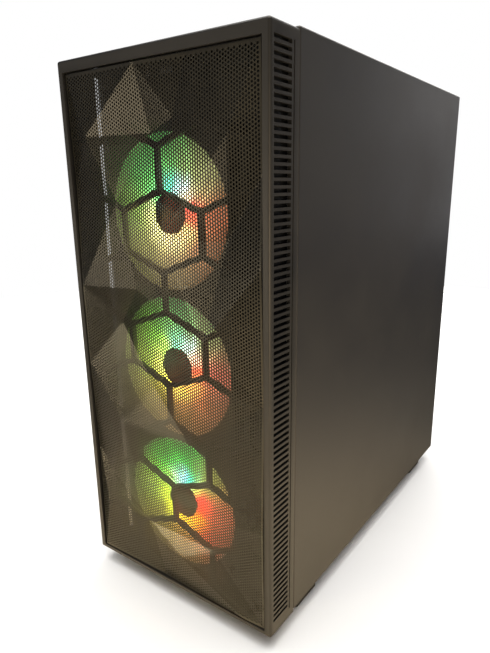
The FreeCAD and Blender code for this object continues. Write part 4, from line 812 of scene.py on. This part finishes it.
# ------------------------------------------------------------------ screws with knurled heads
def thumb_screw(name, x, z, body, node):
    lo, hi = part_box(node)
    y1 = hi.y / MM
    bm = bmesh.new()
    n = 48
    rings = []
    prof = [(3.2, -6.0), (4.1, -5.9), (4.75, -5.3), (4.75, -1.0), (4.3, -0.35), (3.4, 0.0), (2.5, 0.0), (2.3, -0.5), (0.0, -0.7)]
    for r, h in prof:
        ring = []
        if r == 0.0:
            rings.append([bm.verts.new(Vector((x, y1 + h, z)) * MM)])
            continue
        for i in range(n):
            a = 2 * math.pi * i / n
            rr = r - (0.28 if i % 2 and r > 4.5 else 0.0)
            ring.append(bm.verts.new(Vector((x + rr * math.cos(a), y1 + h, z + rr * math.sin(a))) * MM))
        rings.append(ring)
    for a, b in zip(rings, rings[1:]):
        for i in range(n):
            j = (i + 1) % n
            if len(b) == 1:
                bm.faces.new((a[i], a[j], b[0]))
            else:
                bm.faces.new((a[i], a[j], b[j], b[i]))
    bm.faces.new(list(reversed(rings[0])))
    bm_turned(bm, (x, y1 - 11.8, z), (0, 1, 0), [(0, 0.0), (1.2, 0.0), (1.65, 0.6), (1.65, 5.9), (0, 5.9)], 24)
    bm_block(bm, (x - 2.2, y1 - 1.1, z - 0.45), (x + 2.2, y1 - 0.35, z + 0.45), 0.15)
    bmesh.ops.recalc_face_normals(bm, faces=bm.faces)
    o = from_bmesh(name, bm, True, 28)
    return dress(o, "black_zinc", body, (node,))


for side, sx, body in (("right", 1, "right_panel"), ("left", -1, "left_panel")):
    for i, z in enumerate((70.0, 400.0)):
        thumb_screw("thumb_screw_%s_%d" % (side, i + 1), 92.0 * sx, z, body, "thumb_screws_" + side)

# ------------------------------------------------------------------ sockets on the back
PORTS = ((415.0, 430.0, 0), (394.0, 412.0, 2), (371.0, 391.0, 0), (349.0, 368.0, 0), (327.0, 346.0, 0), (290.0, 322.0, 3))
face_x = 76.9
lo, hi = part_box("rear_ports")
py1 = hi.y / MM
py0 = lo.y / MM
shells, tongues, dark, green, pink = (bmesh.new() for _ in range(5))


def socket_shell(bm, x0, x1, z0, z1, depth, wall=0.5):
    """A thin metal box open to the back."""
    y = py1
    for a, b in (((x0, y - depth, z0), (x1, y, z0 + wall)), ((x0, y - depth, z1 - wall), (x1, y, z1)),
                 ((x0, y - depth, z0 + wall), (x0 + wall, y, z1 - wall)), ((x1 - wall, y - depth, z0 + wall), (x1, y, z1 - wall)),
                 ((x0 + wall, y - depth, z0 + wall), (x1 - wall, y - depth + wall, z1 - wall))):
        bm_block(bm, a, b, 0.12, 1)


for k, (z0, z1, d) in enumerate(PORTS):
    x0, x1 = face_x - 30.0 + d, face_x - 2.0
    bm_block(dark, (x0 + 0.3, py0, z0 + 0.3), (x1 - 0.3, py1 - 12.0, z1 - 0.3), 0.4, 1)
    if k in (0, 2, 3, 4):
        n = 2
        w = (x1 - x0 - 1.0) / n
        for c in range(n):
            a = x0 + c * (w + 1.0)
            rows = 1 if z1 - z0 < 17 else 2
            h = (z1 - z0 - 0.6 * (rows - 1)) / rows
            for rr in range(rows):
                zz = z0 + rr * (h + 0.6)
                socket_shell(shells, a, a + w, zz, zz + h, 12.0)
                bm_block(tongues if k != 4 else dark, (a + 1.4, py1 - 11.5, zz + h * 0.52), (a + w - 1.4, py1 - 1.2, zz + h * 0.52 + 1.7), 0.2, 1)
    elif k == 1:
        socket_shell(shells, x0, x0 + 15.5, z0, z1, 13.0, 0.6)
        bm_block(dark, (x0 + 1.2, py1 - 12.0, z1 - 4.0), (x0 + 14.3, py1 - 2.0, z1 - 1.0), 0.3, 1)
        socket_shell(shells, x0 + 16.5, x1, z0 + 1.0, z1 - 3.0, 12.0, 0.5)
        bm_block(dark, (x0 + 18.0, py1 - 11.5, (z0 + z1) / 2 - 1.6), (x1 - 1.5, py1 - 1.5, (z0 + z1) / 2 + 0.2), 0.2, 1)
    else:
        for c in range(2):
            for rr in range(3):
                cx_, cz_ = x0 + 6.2 + c * 12.6, z0 + 5.3 + rr * 10.6
                target = (green, pink, dark)[rr] if c == 0 else dark
                bm_turned(target, (cx_, py1 - 12.0, cz_), (0, 1, 0), [(4.7, 0.0), (4.7, 11.4), (4.2, 12.0), (2.6, 12.0), (1.9, 11.4), (1.9, 2.0), (0.0, 2.0)], 28)
for nm, bm, mat, sl in (("rear_socket_shells", shells, "nickel", "socket_metal"), ("rear_socket_tongues", tongues, "tongue_blue", "socket_metal"),
                        ("rear_socket_bodies", dark, "socket_black", "socket_metal"), ("rear_jack_green", green, "ring_green", "socket_metal"),
                        ("rear_jack_pink", pink, "ring_pink", "socket_metal")):
    bmesh.ops.recalc_face_normals(bm, faces=bm.faces)
    dress(from_bmesh(nm, bm, True, 30), mat, "chassis", ("rear_ports",))

# ------------------------------------------------------------------ small parts on the main board
rnd = random.Random(11)
caps, cans, chips, chokes, plugs = (bmesh.new() for _ in range(5))
fx = face_x


def cap(y, z, r=3.2, h=8.5):
    bm_turned(cans, (fx - 0.2, y, z), (-1, 0, 0), [(r, 0.0), (r, 0.7), (r * 0.9, 1.1), (r, 1.6), (r, h - 0.5), (r - 0.5, h), (r - 0.9, h - 0.15), (0.0, h - 0.15)], 20)


def chip(y, z, w, l, h=1.1):
    bm_block(chips, (fx - h, y - w / 2, z - l / 2), (fx - 0.05, y + w / 2, z + l / 2), 0.15, 1)


def choke(y, z):
    bm_block(chokes, (fx - 6.0, y - 4.6, z - 4.6), (fx - 0.1, y + 4.6, z + 4.6), 0.8, 2)


for i in range(7):
    choke(139.0, 308.0 + i * 13.2)
for i in range(5):
    choke(60.0 + i * 12.5, 412.0)
for i in range(8):
    cap(131.0, 304.0 + i * 12.4)
for i in range(6):
    cap(58.0 + i * 11.5, 401.5, 2.9, 7.5)
for y, z in ((-20, 280), (-28, 262), (0, 262), (20, 268), (36, 262), (150, 268), (165, 262), (60, 286), (75, 286), (150, 238), (160, 200), (150, 180),
             (-40, 240), (-44, 200), (170, 150), (150, 146), (40, 143), (20, 146)):
    cap(y, z, 2.6 + 0.5 * rnd.random(), 6.0 + 2.0 * rnd.random())
for y, z, w, l in ((60, 250, 9, 9), (150, 250, 8, 12), (165, 225, 7, 7), (168, 170, 10, 10), (-30, 232, 7, 9), (-38, 165, 8, 8), (60, 176, 6, 10),
                   (90, 196, 5, 7), (120, 196, 5, 7), (40, 196, 12, 6), (30, 150, 8, 8), (115, 240, 4, 6), (100, 240, 4, 6), (85, 240, 4, 6),
                   (20, 240, 9, 9), (0, 236, 5, 5), (-10, 300, 6, 6), (-12, 330, 6, 6), (150, 290, 6, 9)):
    chip(y, z, w, l)
for i in range(60):
    y, z = rnd.uniform(-50, 170), rnd.uniform(142, 434)
    if abs(y - 102) < 40 and abs(z - 361) < 50:
        continue
    chip(y, z, rnd.choice((1.2, 1.6, 2.2)), rnd.choice((1.0, 1.8)), 0.6)
for y, z in ((-48.5, 190), (-48.5, 215), (-48.5, 250)):
    bm_block(plugs, (fx - 9.0, y - 3.0, z - 7.0), (fx - 0.1, y + 3.0, z + 7.0), 0.4, 1)
for i in range(5):
    y0 = -20 + i * 30
    bm_block(plugs, (fx - 5.5, y0 - 9.0, 139.0), (fx - 0.1, y0 + 9.0, 144.0), 0.3, 1)
    for p in range(7):
        for q in range(2):
            bm_block(caps, (fx - 8.5, y0 - 7.9 + p * 2.54 - 0.3, 140.0 + q * 2.0 - 0.3 + 0.3), (fx - 5.4, y0 - 7.9 + p * 2.54 + 0.3, 140.6 + q * 2.0 + 0.3))
for nm, bm, mat, sl in (("board_capacitors", cans, "can_alloy", "fin_metal"), ("board_chips", chips, "chip_black", "dark_plastic"),
                        ("board_chokes", chokes, "jacket_black", "dark_plastic"), ("board_headers", plugs, "socket_black", "dark_plastic"),
                        ("board_pins", caps, "brass", "brass_metal")):
    bmesh.ops.recalc_face_normals(bm, faces=bm.faces)
    dress(from_bmesh(nm, bm, True, 30), mat, "chassis")

# ------------------------------------------------------------------ floor, light
def disc(name, r, z, n=96):
    bm = bmesh.new()
    vs = [bm.verts.new((r * math.cos(2 * math.pi * i / n), r * math.sin(2 * math.pi * i / n), z)) for i in range(n)]
    bm.faces.new(vs)
    return from_bmesh(name, bm)


floor = disc("floor", 1.5, -0.0004)
k = Nodes("floor_pale")
lp = k.new("LightPath")
tone = k.noise(3.0, 3.0)
pale = k.ramp(tone, [(0.3, (0.90, 0.895, 0.885)), (0.7, (0.93, 0.925, 0.915))])
pool = k.new("VectorMath", operation="DISTANCE")
k.link(k.co, pool.inputs[0])
pool.inputs[1].default_value = (0.12, -0.30, 0.0)
# painted light: for every ray but camera rays, the floor's colour is a warm pool of light round the tower that fades to
# dark with distance, so the case reflects painted light
painted_light_pool = k.ramp(k.range(pool.outputs["Value"], 0.0, 1.0, 0.0, 1.0), [(0.0, (1.0, 0.84, 0.58)), (0.28, (0.92, 0.76, 0.52)), (0.45, (0.45, 0.38, 0.28)),
                                                                    (0.6, (0.2, 0.18, 0.145)), (0.9, (0.06, 0.058, 0.055))])
k.put(k.b, "Base Color", k.mix(lp.outputs["Is Camera Ray"], painted_light_pool, pale))
k.b.inputs["Roughness"].default_value = 0.9
k.b.inputs["Specular IOR Level"].default_value = 0.1
floor.data.materials.append(k.m)

world = bpy.data.worlds.new("studio")
scene.world = world
world.use_nodes = True
wt = world.node_tree
wt.nodes.clear()
wo = wt.nodes.new("ShaderNodeOutputWorld")
bg = wt.nodes.new("ShaderNodeBackground")
wlp = wt.nodes.new("ShaderNodeLightPath")
mx = wt.nodes.new("ShaderNodeMix")
mx.data_type = "RGBA"
ad = wt.nodes.new("ShaderNodeMath")
ad.operation = "MAXIMUM"
wt.links.new(wlp.outputs["Is Camera Ray"], ad.inputs[0])
wt.links.new(wlp.outputs["Is Transmission Ray"], ad.inputs[1])
wt.links.new(ad.outputs[0], mx.inputs[0])
mx.inputs[6].default_value = (0.080, 0.086, 0.108, 1)
mx.inputs[7].default_value = (1.0, 1.0, 1.0, 1)
wt.links.new(mx.outputs[2], bg.inputs["Color"])
wt.links.new(bg.outputs[0], wo.inputs["Surface"])


def softbox(name, pos, target, size, power, colour=(1, 1, 1), spread=180, diffuse=True, gloss=True):
    d = bpy.data.lights.new(name, "AREA")
    d.shape = "RECTANGLE"
    d.size, d.size_y = size
    d.energy = power
    d.color = colour
    d.spread = math.radians(spread)
    o = bpy.data.objects.new(name, d)
    scene.collection.objects.link(o)
    o.location = pos
    o.rotation_mode = "QUATERNION"
    o.rotation_quaternion = (Vector(target) - Vector(pos)).to_track_quat("-Z", "Y")
    o.visible_camera = False
    o.visible_diffuse = diffuse
    o.visible_glossy = gloss
    return o


softbox("top_box", (0.1, -0.1, 2.2), (0, 0, 0), (2.6, 2.6), 95, (1.0, 0.985, 0.96))
softbox("front_low", (0.75, -1.15, 0.16), (0.05, -0.15, 0.06), (0.7, 0.30), 7.0, (1.0, 0.84, 0.62))
softbox("front_left_card", (-1.4, -1.9, 0.12), (0, -0.2, 0.04), (1.0, 0.4), 6.0, (1.0, 0.90, 0.72), diffuse=False)
softbox("low_left_fill", (-0.62, -1.15, 0.10), (-0.02, -0.196, 0.02), (0.30, 0.12), 0.17, (1.0, 0.88, 0.62), spread=24)
softbox("floor_glow", (0.44, -0.20, 0.004), (0.44, -0.20, 1.0), (0.45, 0.7), 6.5, (1.0, 0.84, 0.62), gloss=False)
softbox("rear_card", (0.52, 2.1, 0.55), (0.10, 0.19, 0.33), (0.42, 0.9), 1.0, (1.0, 0.97, 0.95), diffuse=False)
softbox("left_fill", (-1.5, -0.3, 0.9), (0, 0.1, 0.25), (1.0, 1.0), 6, (0.95, 0.98, 1.0), gloss=False)
softbox("back_fill", (-0.3, 1.6, 1.0), (0, 0.1, 0.25), (1.2, 1.0), 16, (1.0, 0.98, 0.95))
